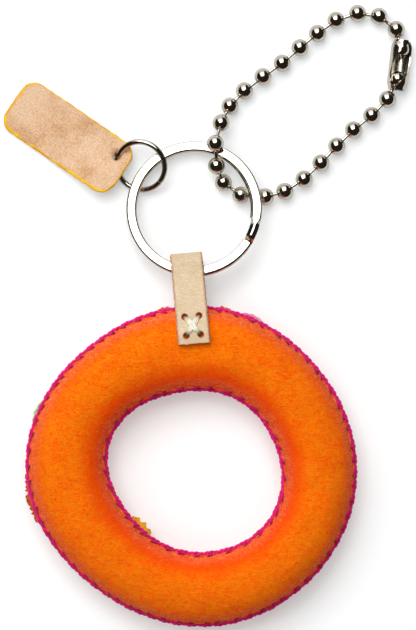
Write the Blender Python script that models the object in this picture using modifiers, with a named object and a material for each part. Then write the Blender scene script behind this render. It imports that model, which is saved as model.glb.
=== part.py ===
"""Felt bag charm: a stuffed felt ring on a leather strap, a split ring, a jump ring with a
leather tag, and a ball chain closed by its connector, all lying flat on a table.

Metres, +Z up. X runs across the charm and Y along it, from the felt ring to the chain.
The origin is under the middle of the charm, on the table.
"""
import math

import bmesh
import bpy
import numpy as np
from mathutils import Matrix, Vector

MM = 0.001
CLEARANCE = 0.3 * MM          # left between pieces that touch
FINE_CLEARANCE = 0.15 * MM    # left between thin pieces that touch
MERGE_DISTANCE = 0.001 * MM

# Felt ring: two felt panels sewn together at both rims and stuffed
FELT_SIDE = 0.95 * MM         # its centre from the strap's fold, along X
FELT_DROP = 12.15 * MM        # its nearest side from the strap's fold, along Y
FELT_RADIUS = 38.4 * MM       # mean radius over the outer seam
FELT_HEIGHT = 15.0 * MM       # stuffed height
FELT_THICKNESS = 1.5 * MM
FELT_SEAM_ALLOWANCE = 1.0 * MM
FELT_FLATTENING = 0.35 * MM   # how far the belly is pressed flat on the table
HOLE_OFFSET = (1.0 * MM, -1.3 * MM)
HOLE_RADIUS = 19.7 * MM       # mean radius inside the inner seam
SEAM_THREAD = 0.95 * MM
# Hand-cut outlines: lobes round the rim, height of each as a share of the mean radius, direction
OUTER_LOBES = ((1, 0.021, -12.0), (2, 0.020, -17.0), (3, 0.012, -55.0), (4, 0.010, -1.0))
INNER_LOBES = ((1, 0.024, 25.0), (2, 0.051, -23.0), (3, 0.017, 45.0), (4, 0.015, -24.0))
DOME_POWER = 2.3              # how square the stuffed section is
DOME_ROUNDING = 0.62
FELT_SEGMENTS = 40
DOME_ANGLES = (-90.0, -60.0, -36.0, -14.0, 14.0, 36.0, 60.0, 90.0)
FILLING_SIDES = 9

# Felt patches under the ring, each by its direction, arc, which rim it hangs over and how far
PATCH_THICKNESS = 1.0 * MM
PATCH_ROUNDING = 0.35         # of its overhang, lost at its corners
PATCHES = (
    ("patch_mustard", 226.0, 19.0, -1, 2.0 * MM),
    ("patch_green", 161.0, 9.0, 1, 1.6 * MM),
    ("patch_pink", 67.0, 8.0, 1, 1.6 * MM),
)

# Strap: one strip of leather folded through the split ring, sewn on both sides of the felt
STRAP_FOLD = (-5.39 * MM, 14.76 * MM)   # middle of the fold's outer edge
STRAP_LEAN = 5.4              # degrees, the sewn end leans to +X
STRAP_WIDTH = 7.6 * MM
STRAP_LENGTH = 21.6 * MM      # of one side, fold to end
STRAP_THICKNESS = 1.3 * MM
STRAP_LOOP_RADIUS = 1.85 * MM  # inside the fold
STRAP_TOUCH = 0.38            # where it first lies on the felt, as a share of the half section
STRAP_LANDING = 0.18          # where its lower run comes to rest, as a share of the half section
STRAP_LANDING_SLOPE = -0.06
STRAP_FOLD_SLOPE = 0.05       # of both runs next to the fold
STRAP_DENT_MARGIN = 0.8 * MM  # of the belly's dent beside the strap
STRAP_DENT_FADE = 4.0 * MM
STRAP_HOLE = 1.55 * MM
STRAP_HOLE_ROWS = (6.5 * MM, 2.05 * MM)  # from the sewn ends
STRAP_HOLE_SPREAD = 1.7 * MM  # from the strap's middle line
STITCH_THREAD = 0.9 * MM
STITCH_RISE = 0.14            # where a strand is clear of its hole, as a share of its run

# Split ring: two turns of flat wire
SPLIT_RING_PLACE = (1.99 * MM, 10.48 * MM)  # its centre from the strap's fold
SPLIT_RING_DIAMETER = 32.0 * MM
SPLIT_RING_WIDTH = 2.0 * MM
SPLIT_RING_THICKNESS = 2.0 * MM
SPLIT_RING_TURN_GAP = 0.1 * MM
SPLIT_RING_UNDERSIDE = 3.4 * MM  # height of its lower face at its centre
SPLIT_RING_SLOPE = (0.07, -0.11)  # rise along X and along Y
SPLIT_RING_UPPER_END = -31.7  # degrees
SPLIT_RING_CRANK_START = -16.5
SPLIT_RING_LOWER_END = -8.6
SPLIT_RING_STEP = 7.5

# Jump ring: it passes over the split ring on one side and under it on the other
JUMP_RING_PLACE = (-12.78 * MM, 10.35 * MM)  # its centre from the split ring's centre
JUMP_RING_DIAMETER = 12.9 * MM
JUMP_RING_WIRE = 1.25 * MM
JUMP_RING_SLACK = 0.45 * MM
JUMP_RING_JOINT = -42.6       # degrees, where its ends meet
JUMP_RING_JOINT_GAP = 1.6     # degrees
JUMP_RING_POINTS = 34

# Leather tag: it bends where the jump ring passes its hole
TAG_LENGTH = 31.0 * MM
TAG_WIDTH = 14.0 * MM
TAG_THICKNESS = 1.2 * MM
TAG_CORNER = 3.8 * MM
TAG_TURN = -34.6              # degrees
TAG_HOLE_PLACE = (-5.4813 * MM, 2.5411 * MM)  # from the jump ring's centre
TAG_HOLE_INSET = (3.62 * MM, 3.76 * MM)  # from the tag's end and from its long edge
TAG_HOLE_CLEARANCE = 0.98 * MM  # round the jump ring's wire
TAG_LIFT = 1.8 * MM           # of its middle surface at the hole over its free end
TAG_BEND_HEIGHT = 1.125 * MM
TAG_BEND_LENGTH = 1.77 * MM
TAG_BEND_WIDTH = 6.2 * MM
TAG_BEND_TURN = 243.0         # degrees, the direction in which the bend rises
TAG_CORNER_POINTS = 4
TAG_EDGE_POINTS = (9, 4)      # along each long and each short edge
TAG_RINGS = (0.0, 0.16, 0.42, 1.0)

# Ball chain: its two end balls sit in the connector
BEAD_DIAMETER = 4.1 * MM
BEAD_WALL = 0.6 * MM
LINK_WIRE = 0.8 * MM
LINK_HEAD = 1.4 * MM
LINK_HEAD_DEPTH = 0.45 * MM   # how far a link's head stops before the next ball's centre
LINK_HEAD_SHOULDER = 0.7      # radius and height of the head's rounded shoulder, as shares of its radius
LINK_HEAD_BASE = 0.8          # where the head narrows to the wire, as a share of its radius
# Hollow of a ball, from its mouth down: radius and height as shares of the hollow's radius
SOCKET_MOUTH_HEIGHT = 0.85
SOCKET_SECTION = ((1.0, 0.35), (0.75, -0.55), (0.0, -0.8))
BEAD_OVER_RING = 0.25 * MM    # left under the ball that rides on the split ring
# Ball centres along the chain, from the split ring's centre: x and y as multiples of the unit,
# and the share of the lift over the split ring
CHAIN_UNIT = 1.0 * MM
CHAIN_ROUTE = (
    (49.31, 37.34, 0.0), (48.21, 42.92, 0.0), (44.08, 46.06, 0.0), (38.96, 46.77, 0.0), (33.82, 45.13, 0.0),
    (29.39, 42.01, 0.0), (25.20, 38.58, 0.0), (20.97, 34.89, 0.0), (16.37, 31.68, 0.0), (11.95, 28.30, 0.0),
    (8.50, 24.66, 0.0), (6.38, 20.52, 0.44), (5.02, 15.54, 1.0), (5.28, 10.26, 0.51), (6.93, 6.36, 0.0),
    (11.09, 3.38, 0.0), (16.94, 2.98, 0.0), (21.59, 4.29, 0.0), (26.18, 7.24, 0.0), (30.20, 11.07, 0.0),
    (33.99, 15.12, 0.0), (37.98, 18.97, 0.0), (42.34, 22.42, 0.0), (46.10, 26.30, 0.0), (48.61, 31.48, 0.0),
)
CONNECTOR_LENGTH = 12.0 * MM
CONNECTOR_WALL = 0.3 * MM
CONNECTOR_CLEARANCE = 0.15 * MM
CONNECTOR_NECK = 0.80         # end radius as a share of the middle radius
CONNECTOR_TAPER_START = 0.7   # share of the half length at which the ends start to narrow
CONNECTOR_SLOT_TURN = 14.0    # degrees, how far the middle of its slot faces away from straight up
CONNECTOR_SLOT_TWIST = 44.0   # degrees, how far the slot has turned at each end
CONNECTOR_SLOT_MIDDLE = 58.0  # degrees, half of the slot at the middle
CONNECTOR_SLOT_END = 14.0
CONNECTOR_SLOT_TAPER = 1.35   # how quickly the slot narrows from its middle
CONNECTOR_SIDES = 16
CONNECTOR_STATIONS = (-1.0, -0.86, -0.7, -0.5, -0.3, 0.0, 0.3, 0.5, 0.7, 0.86, 1.0)

# Values that follow from the ones above
FELT_CENTRE = (STRAP_FOLD[0] + FELT_SIDE, STRAP_FOLD[1] - FELT_DROP - FELT_RADIUS)
SPLIT_RING_CENTRE = (STRAP_FOLD[0] + SPLIT_RING_PLACE[0], STRAP_FOLD[1] + SPLIT_RING_PLACE[1])
JUMP_RING_CENTRE = (SPLIT_RING_CENTRE[0] + JUMP_RING_PLACE[0], SPLIT_RING_CENTRE[1] + JUMP_RING_PLACE[1])
MID_HEIGHT = FELT_HEIGHT / 2.0
SEAM_HEIGHT = FINE_CLEARANCE + FELT_THICKNESS   # of a panel's outer face at its rim, over the middle
RIM_INSET = SEAM_THREAD + FINE_CLEARANCE        # from the sewn outline to the felt's edge
STRAP_ANGLE = math.radians(STRAP_LEAN)
STRAP_DIRECTION = np.array([math.sin(STRAP_ANGLE), -math.cos(STRAP_ANGLE)])
STRAP_ACROSS = np.array([math.cos(STRAP_ANGLE), math.sin(STRAP_ANGLE)])
STRAP_REST = STITCH_THREAD + FINE_CLEARANCE     # height of the strap's underside at its sewn end
BELLY_DENT = STRAP_REST + STRAP_THICKNESS + CLEARANCE
RING_NORMAL = np.array([-SPLIT_RING_SLOPE[0], -SPLIT_RING_SLOPE[1], 1.0])
RING_NORMAL = RING_NORMAL / np.linalg.norm(RING_NORMAL)
RING_MIDDLE = np.array([*SPLIT_RING_CENTRE, SPLIT_RING_UNDERSIDE + SPLIT_RING_THICKNESS / 2.0])
BAND_RADIUS = (SPLIT_RING_DIAMETER - SPLIT_RING_WIDTH) / 2.0
BEAD_RADIUS = BEAD_DIAMETER / 2.0
CONNECTOR_RADIUS = BEAD_RADIUS + CONNECTOR_CLEARANCE + CONNECTOR_WALL


def new_collection(name):
    """A collection in the scene."""
    collection = bpy.data.collections.new(name)
    bpy.context.scene.collection.children.link(collection)
    return collection


def new_material(name, colour, roughness, metallic=0.0):
    """A Principled material from a linear colour."""
    material = bpy.data.materials.new(name)
    material.use_nodes = True
    shader = material.node_tree.nodes["Principled BSDF"]
    shader.inputs["Base Color"].default_value = (*colour, 1.0)
    shader.inputs["Roughness"].default_value = roughness
    shader.inputs["Metallic"].default_value = metallic
    return material


def new_object(name, data, collection, material=None):
    """An object of the given mesh or curve, linked and given its material."""
    obj = bpy.data.objects.new(name, data)
    collection.objects.link(obj)
    if material is not None:
        data.materials.append(material)
    return obj


def mesh_from_grid(name, points, close_rows=False, close_columns=False):
    """A mesh of quads over a grid of points, shaped (rows, columns, 3)."""
    rows, columns = points.shape[:2]
    row_steps = np.arange(rows if close_rows else rows - 1)
    column_steps = np.arange(columns if close_columns else columns - 1)
    row, column = np.meshgrid(row_steps, column_steps, indexing="ij")
    next_row = (row + 1) % rows
    next_column = (column + 1) % columns
    corners = (row * columns + column, row * columns + next_column,
               next_row * columns + next_column, next_row * columns + column)
    faces = np.stack(corners, axis=-1).reshape(-1, 4)
    mesh = bpy.data.meshes.new(name)
    mesh.from_pydata(points.reshape(-1, 3).tolist(), [], faces.tolist())
    return mesh


def close_mesh(mesh, end_rows=None):
    """Fills the open ends of a tube and turns all faces outwards."""
    shape = bmesh.new()
    shape.from_mesh(mesh)
    if end_rows is not None:
        open_edges = [edge for edge in shape.edges if edge.is_boundary]
        bmesh.ops.holes_fill(shape, edges=open_edges, sides=end_rows)
    bmesh.ops.recalc_face_normals(shape, faces=shape.faces)
    shape.to_mesh(mesh)
    shape.free()


def shade_round(mesh, sharp_angle=40.0):
    """Smooth shading, with edges kept sharp past the given angle in degrees."""
    mesh.shade_smooth()
    mesh.set_sharp_from_angle(angle=math.radians(sharp_angle))


def thicken(obj, thickness, offset=-1.0):
    """A wall of the given thickness on an open surface: inside it at -1, over it at 1, both at 0."""
    wall = obj.modifiers.new("wall", "SOLIDIFY")
    wall.thickness = thickness
    wall.offset = offset
    wall.use_even_offset = True


def wire_curve(name, points, radius, cyclic, sides_level=2):
    """A round wire along a list of points."""
    curve = bpy.data.curves.new(name, "CURVE")
    curve.dimensions = "3D"
    curve.bevel_depth = radius
    curve.bevel_resolution = sides_level
    curve.use_fill_caps = not cyclic
    spline = curve.splines.new("POLY")
    spline.points.add(len(points) - 1)
    for target, point in zip(spline.points, points):
        target.co = (*point, 1.0)
    spline.use_cyclic_u = cyclic
    return curve


def turned_mesh(name, profile, steps):
    """A closed solid turned about Z from (radius, height) points, which run top to bottom."""
    shape = bmesh.new()
    points = [shape.verts.new((radius, 0.0, height)) for radius, height in profile]
    edges = [shape.edges.new(pair) for pair in zip(points[:-1], points[1:])]
    bmesh.ops.spin(shape, geom=points + edges, axis=(0.0, 0.0, 1.0), cent=(0.0, 0.0, 0.0),
                   steps=steps, angle=math.tau, use_merge=True)
    bmesh.ops.remove_doubles(shape, verts=shape.verts, dist=MERGE_DISTANCE)
    bmesh.ops.recalc_face_normals(shape, faces=shape.faces)
    mesh = bpy.data.meshes.new(name)
    shape.to_mesh(mesh)
    shape.free()
    return mesh


def combine(obj, other, operation):
    """Joins another mesh to an object, or cuts it away."""
    step = obj.modifiers.new(operation.lower(), "BOOLEAN")
    step.operation = operation
    step.object = other
    step.solver = "EXACT"
    other.hide_render = True
    other.display_type = "WIRE"


def unit(vector):
    """A vector of length one."""
    return vector / np.linalg.norm(vector)


def smooth_step(value):
    """0 below 0, 1 above 1, and a smooth rise between."""
    clipped = np.clip(value, 0.0, 1.0)
    return clipped * clipped * (3.0 - 2.0 * clipped)


def rim_point(theta, radius, lobes, centre, inset):
    """A point on a hand-cut rim: radius (1 + sum of share cos(n (theta - direction))) - inset."""
    wobble = sum(share * np.cos(count * (theta - math.radians(turn))) for count, share, turn in lobes)
    reach = radius * (1.0 + wobble) - inset
    return np.stack([centre[0] + reach * np.cos(theta), centre[1] + reach * np.sin(theta)], axis=-1)


def outer_rim(theta, inset):
    """The ring's outer rim, drawn in by the inset."""
    return rim_point(theta, FELT_RADIUS, OUTER_LOBES, FELT_CENTRE, inset)


def inner_rim(theta, inset):
    """The hole's rim, widened by the inset."""
    centre = (FELT_CENTRE[0] + HOLE_OFFSET[0], FELT_CENTRE[1] + HOLE_OFFSET[1])
    return rim_point(theta, HOLE_RADIUS, INNER_LOBES, centre, -inset)


def strap_theta():
    """The direction of the strap's sewn end, seen from the felt ring's centre."""
    end = np.array(STRAP_FOLD) + STRAP_DIRECTION * STRAP_LENGTH - np.array(FELT_CENTRE)
    return math.atan2(end[1], end[0])


def dent_share(theta):
    """1 where the strap lies under the belly, and 0 past its edges."""
    middle_radius = (FELT_RADIUS + HOLE_RADIUS) / 2.0
    away = np.abs((theta - strap_theta() + math.pi) % math.tau - math.pi) * middle_radius
    plateau = STRAP_WIDTH / 2.0 + STRAP_DENT_MARGIN
    return 1.0 - smooth_step((away - plateau) / STRAP_DENT_FADE)


def dome_height(theta, across, side, base, reach):
    """Height of the stuffed section over its middle plane.

    across runs from -1 to 1 over the dome. The height is base + (crest - base) (1 - |across|^p)^q,
    with the underside pressed flat by the table and dented by the strap.
    """
    crest = reach + FELT_FLATTENING
    lowered = crest - (BELLY_DENT + FELT_FLATTENING) * dent_share(theta) if side < 0 else crest
    profile = np.clip(1.0 - np.abs(across) ** DOME_POWER, 0.0, 1.0) ** DOME_ROUNDING
    return np.minimum(base + (lowered - base) * profile, reach)


def felt_surface(theta, across, side, offset=0.0):
    """Outer face of a felt panel: side is 1 for the upper panel and -1 for the lower one."""
    outer = outer_rim(theta, RIM_INSET)
    inner = inner_rim(theta, RIM_INSET)
    middle = (outer + inner) / 2.0
    half = (outer - inner) / 2.0
    width = np.linalg.norm(half, axis=-1)
    dome_share = 1.0 - FELT_SEAM_ALLOWANCE / width
    plan = middle + half * across[..., None]
    height = dome_height(theta, across / dome_share, side, SEAM_HEIGHT, MID_HEIGHT) + offset
    return np.concatenate([plan, (MID_HEIGHT + side * height)[..., None]], axis=-1)


def felt_angles(count):
    """Directions round the ring, one of them in line with the strap."""
    return strap_theta() + np.arange(count) * math.tau / count


def felt_across():
    """Stations over the section of a panel, rim to rim, as shares of the half width."""
    width = (FELT_RADIUS - HOLE_RADIUS) / 2.0 - RIM_INSET
    dome = (1.0 - FELT_SEAM_ALLOWANCE / width) * np.sin(np.radians(DOME_ANGLES))
    return np.concatenate([[-1.0], dome, [1.0]])


def build_felt_panel(name, side, parts, material):
    """One felt panel of the ring, from rim to rim."""
    theta, across = np.meshgrid(felt_angles(FELT_SEGMENTS), felt_across(), indexing="ij")
    mesh = mesh_from_grid(name, felt_surface(theta, across, side), close_rows=True)
    if side < 0:
        mesh.flip_normals()
    shade_round(mesh, 60.0)
    panel = new_object(name, mesh, parts, material)
    thicken(panel, FELT_THICKNESS)
    return panel


def build_filling(parts, material):
    """The stuffing: a ring of the section left between the panels."""
    gap = FELT_THICKNESS + CLEARANCE
    angles = np.arange(FILLING_SIDES) * math.tau / FILLING_SIDES
    theta, turn = np.meshgrid(felt_angles(FELT_SEGMENTS), angles, indexing="ij")
    outer = outer_rim(theta, RIM_INSET + FELT_SEAM_ALLOWANCE + gap)
    inner = inner_rim(theta, RIM_INSET + FELT_SEAM_ALLOWANCE + gap)
    plan = (outer + inner) / 2.0 + (outer - inner) / 2.0 * np.cos(turn)[..., None]
    reach = MID_HEIGHT - gap - FINE_CLEARANCE
    upper = dome_height(theta, np.cos(turn), 1, 0.0, reach - FELT_FLATTENING)
    lower = dome_height(theta, np.cos(turn), -1, 0.0, reach - FELT_FLATTENING)
    height = np.where(np.sin(turn) >= 0.0, upper, -lower)
    points = np.concatenate([plan, (MID_HEIGHT + height)[..., None]], axis=-1)
    mesh = mesh_from_grid("filling", points, close_rows=True, close_columns=True)
    close_mesh(mesh)
    shade_round(mesh, 60.0)
    return new_object("filling", mesh, parts, material)


def build_seam_thread(name, rim, count, parts, material):
    """The edging thread of the blanket stitch, round one rim."""
    theta = np.arange(count) * math.tau / count
    plan = rim(theta, SEAM_THREAD / 2.0)
    points = np.column_stack([plan, np.full(count, MID_HEIGHT)])
    curve = wire_curve(name, points, SEAM_THREAD / 2.0, True, sides_level=1)
    return new_object(name, curve, parts, material)


def build_patch(name, turn, arc, rim_side, overhang, parts, material):
    """A small felt patch sewn under the ring, hanging a little over one rim."""
    stations = felt_across()[-4:]
    stations[0] = (stations[0] + stations[1]) / 2.0
    across = rim_side * stations
    half_arc = math.radians(arc) / 2.0
    steps = np.linspace(-1.0, 1.0, 5)
    theta, row = np.meshgrid(math.radians(turn) + steps * half_arc, across, indexing="ij")
    points = felt_surface(theta, row, -1, FINE_CLEARANCE)
    last = points[:, -1].copy()
    outward = np.array([np.cos(theta[:, -1]), np.sin(theta[:, -1])]).T * rim_side
    scallop = overhang * (1.0 - PATCH_ROUNDING * steps ** 2)
    last[:, :2] += outward * scallop[:, None]
    points = np.concatenate([points, last[:, None]], axis=1)
    mesh = mesh_from_grid(name, points)
    if rim_side > 0:
        mesh.flip_normals()
    patch = new_object(name, mesh, parts, material)
    thicken(patch, PATCH_THICKNESS, offset=1.0)
    return patch


def strap_plan(along, across):
    """World X and Y of a point on the strap, from the fold and from its middle line."""
    return (np.array(STRAP_FOLD) + np.multiply.outer(along, STRAP_DIRECTION)
            + np.multiply.outer(across, STRAP_ACROSS))


def strap_path():
    """The strap's middle line as (along, height), from the upper end round the fold to the lower end."""
    loop_radius = STRAP_LOOP_RADIUS + STRAP_THICKNESS / 2.0
    loop_centre = STRAP_THICKNESS / 2.0 + loop_radius
    loop_height = band_height(strap_crossing())
    theta = strap_theta()
    outer = outer_rim(np.array(theta), RIM_INSET)
    inner = inner_rim(np.array(theta), RIM_INSET)
    start = float((outer - np.array(STRAP_FOLD)) @ STRAP_DIRECTION)
    half = float(np.linalg.norm(outer - inner)) / 2.0
    lift = CLEARANCE + STRAP_THICKNESS / 2.0

    def over_felt(share):
        """Middle line over the upper panel at a share of the half section, lifted along its normal."""
        step = 0.01
        here = felt_surface(np.array(theta), np.array(share), 1)[2]
        there = felt_surface(np.array(theta), np.array(share - step), 1)[2]
        slope = (there - here) / (step * half)
        normal = unit(np.array([-slope, 1.0]))
        return np.array([start + half * (1.0 - share), here]) + lift * normal, slope

    touch, slope = over_felt(STRAP_TOUCH)
    shares = STRAP_TOUCH - np.linspace(0.0, 1.0, 4)[1:] * (
        STRAP_TOUCH - 1.0 + (STRAP_LENGTH - start) / half)
    crest = [over_felt(share)[0] for share in shares]
    top = np.array([loop_centre, loop_height + loop_radius])
    upper = hermite(top, STRAP_FOLD_SLOPE, touch, slope, 8)
    turn = np.radians(np.linspace(90.0, 270.0, 9))
    fold = np.column_stack([loop_centre + loop_radius * np.cos(turn),
                            loop_height + loop_radius * np.sin(turn)])
    bottom = np.array([loop_centre, loop_height - loop_radius])
    landing = np.array([start + STRAP_LANDING * half, STRAP_REST + STRAP_THICKNESS / 2.0])
    lower = hermite(bottom, -STRAP_FOLD_SLOPE, landing, STRAP_LANDING_SLOPE, 7)
    end = np.array([[STRAP_LENGTH, STRAP_REST + STRAP_THICKNESS / 2.0]])
    return np.concatenate([np.array(crest)[::-1], upper[::-1], fold[1:-1], lower, end])


def hermite(start, start_slope, end, end_slope, count):
    """Points on a cubic from one point and slope to another."""
    share = np.linspace(0.0, 1.0, count)
    span = end[0] - start[0]
    height = ((2 * share ** 3 - 3 * share ** 2 + 1) * start[1]
              + (share ** 3 - 2 * share ** 2 + share) * span * start_slope
              + (3 * share ** 2 - 2 * share ** 3) * end[1]
              + (share ** 3 - share ** 2) * span * end_slope)
    return np.column_stack([start[0] + share * span, height])


def band_height(point):
    """Height of the split ring's middle plane over a point of the table."""
    return (RING_MIDDLE[2] + SPLIT_RING_SLOPE[0] * (point[0] - SPLIT_RING_CENTRE[0])
            + SPLIT_RING_SLOPE[1] * (point[1] - SPLIT_RING_CENTRE[1]))


def strap_crossing():
    """Where the split ring's band crosses the strap's middle line."""
    offset = np.array(STRAP_FOLD) - np.array(SPLIT_RING_CENTRE)
    along = offset @ STRAP_DIRECTION
    distance = -along + math.sqrt(along ** 2 - offset @ offset + BAND_RADIUS ** 2)
    return np.array(STRAP_FOLD) + STRAP_DIRECTION * distance


def build_strap(parts, cutters, material):
    """The folded strap with its four sewing holes through both sides."""
    path = strap_path()
    across = np.array([-STRAP_WIDTH / 2.0, STRAP_WIDTH / 2.0])
    rows = [strap_plan(path[:, 0], np.full(len(path), value)) for value in across]
    points = np.stack([np.column_stack([row, path[:, 1]]) for row in rows], axis=1)
    mesh = mesh_from_grid("strap", points)
    shade_round(mesh, 50.0)
    strap = new_object("strap", mesh, parts, material)
    thicken(strap, STRAP_THICKNESS, offset=0.0)
    for number, (along, side) in enumerate(strap_holes(), start=1):
        depth = FELT_HEIGHT * 2.0
        profile = ((0.0, depth), (STRAP_HOLE / 2.0, depth), (STRAP_HOLE / 2.0, -depth), (0.0, -depth))
        drill = new_object(f"drill_{number}", turned_mesh(f"drill_{number}", profile, 8), cutters)
        drill.location = (*strap_plan(along, side), 0.0)
        combine(strap, drill, "DIFFERENCE")
    return strap


def strap_holes():
    """The four holes, by their distance from the fold and from the middle line."""
    return [(STRAP_LENGTH - row, side * STRAP_HOLE_SPREAD)
            for row in STRAP_HOLE_ROWS for side in (-1.0, 1.0)]


def strap_height(along, side):
    """Height of the strap's outer face: side is 1 for its upper run and -1 for its lower run."""
    path = strap_path()
    fold = int(np.argmin(path[:, 0]))
    run = path[:fold + 1][::-1] if side > 0 else path[fold:]
    slope = np.interp(along, (run[1:, 0] + run[:-1, 0]) / 2.0, np.diff(run[:, 1]) / np.diff(run[:, 0]))
    half_wall = STRAP_THICKNESS / 2.0 * np.sqrt(1.0 + slope ** 2)
    return np.interp(along, run[:, 0], run[:, 1]) + side * half_wall


def build_strap_stitch(name, side, parts, cutters, material):
    """A cross stitch on one side of the strap, its ends down in the holes."""
    radius = STITCH_THREAD / 2.0
    near, far = (STRAP_LENGTH - row for row in STRAP_HOLE_ROWS)
    lift = side * (radius + FINE_CLEARANCE / 2.0)
    strands = []
    for number, direction in enumerate((-1.0, 1.0)):
        share = np.array([0.0, 0.0, STITCH_RISE, 0.5, 1.0 - STITCH_RISE, 1.0, 1.0])
        along = near + (far - near) * share
        across = direction * STRAP_HOLE_SPREAD * (2.0 * share - 1.0)
        sink = np.array([STRAP_THICKNESS + radius, 0.5 * radius, 0.0, 0.0, 0.0, 0.5 * radius,
                         STRAP_THICKNESS + radius])
        height = strap_height(along, side) + lift - side * sink
        points = np.column_stack([strap_plan(along, 0.0 * across) + across[:, None] * STRAP_ACROSS, height])
        curve = wire_curve(f"{name}_{number}", points, radius, False, sides_level=1)
        strands.append(mesh_of_curve(f"{name}_{number}", curve))
    stitch = new_object(name, strands[0], parts, material)
    other = new_object(f"{name}_second_strand", strands[1], cutters)
    combine(stitch, other, "UNION")
    return stitch


def mesh_of_curve(name, curve):
    """The closed mesh of a curve's round wire."""
    holder = bpy.data.objects.new(name, curve)
    bpy.context.scene.collection.objects.link(holder)
    graph = bpy.context.evaluated_depsgraph_get()
    mesh = bpy.data.meshes.new_from_object(holder.evaluated_get(graph))
    bpy.data.objects.remove(holder)
    shape = bmesh.new()
    shape.from_mesh(mesh)
    bmesh.ops.remove_doubles(shape, verts=shape.verts, dist=MERGE_DISTANCE)
    bmesh.ops.recalc_face_normals(shape, faces=shape.faces)
    shape.to_mesh(mesh)
    shape.free()
    return mesh


def ring_frame(normal):
    """Two directions in a tilted plane: the first one over world X."""
    first = unit(np.array([1.0, 0.0, -normal[0] / normal[2]]))
    return first, np.cross(normal, first)


def build_split_ring(parts, material):
    """Two turns of flat wire, cranked from the upper turn to the lower one."""
    layer = (SPLIT_RING_THICKNESS + SPLIT_RING_TURN_GAP) / 4.0
    half_wire = (SPLIT_RING_THICKNESS - SPLIT_RING_TURN_GAP) / 4.0
    crank_start = SPLIT_RING_UPPER_END - 360.0 + (SPLIT_RING_CRANK_START - SPLIT_RING_UPPER_END)
    crank_end = SPLIT_RING_UPPER_END - 360.0
    last = SPLIT_RING_LOWER_END - 720.0
    stations = np.concatenate([
        np.arange(SPLIT_RING_UPPER_END, crank_start, -SPLIT_RING_STEP),
        np.linspace(crank_start, crank_end, 4),
        np.arange(crank_end - SPLIT_RING_STEP, last, -SPLIT_RING_STEP), [last]])
    turn = np.radians(stations)
    drop = smooth_step((crank_start - stations) / (crank_start - crank_end))
    middle = layer * (1.0 - 2.0 * drop)
    first, second = ring_frame(RING_NORMAL)
    radial = np.multiply.outer(np.cos(turn), first) + np.multiply.outer(np.sin(turn), second)
    inner = BAND_RADIUS - SPLIT_RING_WIDTH / 2.0
    outer = BAND_RADIUS + SPLIT_RING_WIDTH / 2.0
    corners = ((inner, -half_wire), (outer, -half_wire), (outer, half_wire), (inner, half_wire))
    columns = [RING_MIDDLE + reach * radial + np.multiply.outer(middle + rise, RING_NORMAL)
               for reach, rise in corners]
    mesh = mesh_from_grid("split_ring", np.stack(columns, axis=1), close_columns=True)
    close_mesh(mesh, end_rows=4)
    shade_round(mesh, 30.0)
    return new_object("split_ring", mesh, parts, material)


def jump_ring_plane():
    """Centre and normal of the jump ring: its high side faces across the line of centres."""
    radius = (JUMP_RING_DIAMETER - JUMP_RING_WIRE) / 2.0
    to_split_ring = np.array(SPLIT_RING_CENTRE) - np.array(JUMP_RING_CENTRE)
    distance = float(np.linalg.norm(to_split_ring))
    cosine = (distance ** 2 + radius ** 2 - BAND_RADIUS ** 2) / (2.0 * distance * radius)
    crossing = math.acos(cosine)
    rise = (SPLIT_RING_THICKNESS + JUMP_RING_WIRE + 2.0 * JUMP_RING_SLACK) / (2.0 * math.sin(crossing))
    high = math.atan2(to_split_ring[1], to_split_ring[0]) + math.pi / 2.0
    slope = rise / math.sqrt(radius ** 2 - rise ** 2)
    normal = unit(np.array([-slope * math.cos(high), -slope * math.sin(high), 1.0]))
    centre = np.array([*JUMP_RING_CENTRE, JUMP_RING_WIRE / 2.0 + rise])
    return centre, normal, radius


def build_jump_ring(parts, material):
    """A ring of round wire with a butt joint."""
    centre, normal, radius = jump_ring_plane()
    first, second = ring_frame(normal)
    start = JUMP_RING_JOINT + JUMP_RING_JOINT_GAP / 2.0
    turn = np.radians(np.linspace(start, start + 360.0 - JUMP_RING_JOINT_GAP, JUMP_RING_POINTS))
    radial = np.multiply.outer(np.cos(turn), first) + np.multiply.outer(np.sin(turn), second)
    points = centre + radius * radial
    curve = wire_curve("jump_ring", points, JUMP_RING_WIRE / 2.0, False, sides_level=1)
    return new_object("jump_ring", curve, parts, material)


def tag_axes():
    """Directions along and across the tag."""
    turn = math.radians(TAG_TURN)
    along = np.array([math.cos(turn), math.sin(turn)])
    return along, np.array([-along[1], along[0]])


def tag_hole_centre():
    """The hole's centre over the table."""
    return np.array(JUMP_RING_CENTRE) + np.array(TAG_HOLE_PLACE)


def tag_centre():
    """The tag's centre over the table, from its hole."""
    along, across = tag_axes()
    return (tag_hole_centre() - along * (TAG_LENGTH / 2.0 - TAG_HOLE_INSET[0])
            - across * (TAG_WIDTH / 2.0 - TAG_HOLE_INSET[1]))


def tag_height(plan):
    """Middle surface of the tag: flat at its free end, raised to the jump ring and bent at the hole."""
    along, _ = tag_axes()
    hole = tag_hole_centre()
    start = tag_centre() @ along - TAG_LENGTH / 2.0 + TAG_CORNER
    share = np.clip((plan @ along - start) / (hole @ along - start), 0.0, 1.2)
    base = TAG_THICKNESS / 2.0 + TAG_LIFT * share ** 2
    turn = math.radians(TAG_BEND_TURN)
    rising = np.array([math.cos(turn), math.sin(turn)])
    level = np.array([-rising[1], rising[0]])
    bend = np.tanh((plan - hole) @ rising / TAG_BEND_LENGTH)
    fade = np.exp(-((plan - hole) @ level / TAG_BEND_WIDTH) ** 2)
    return base + TAG_BEND_HEIGHT * bend * fade


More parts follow.
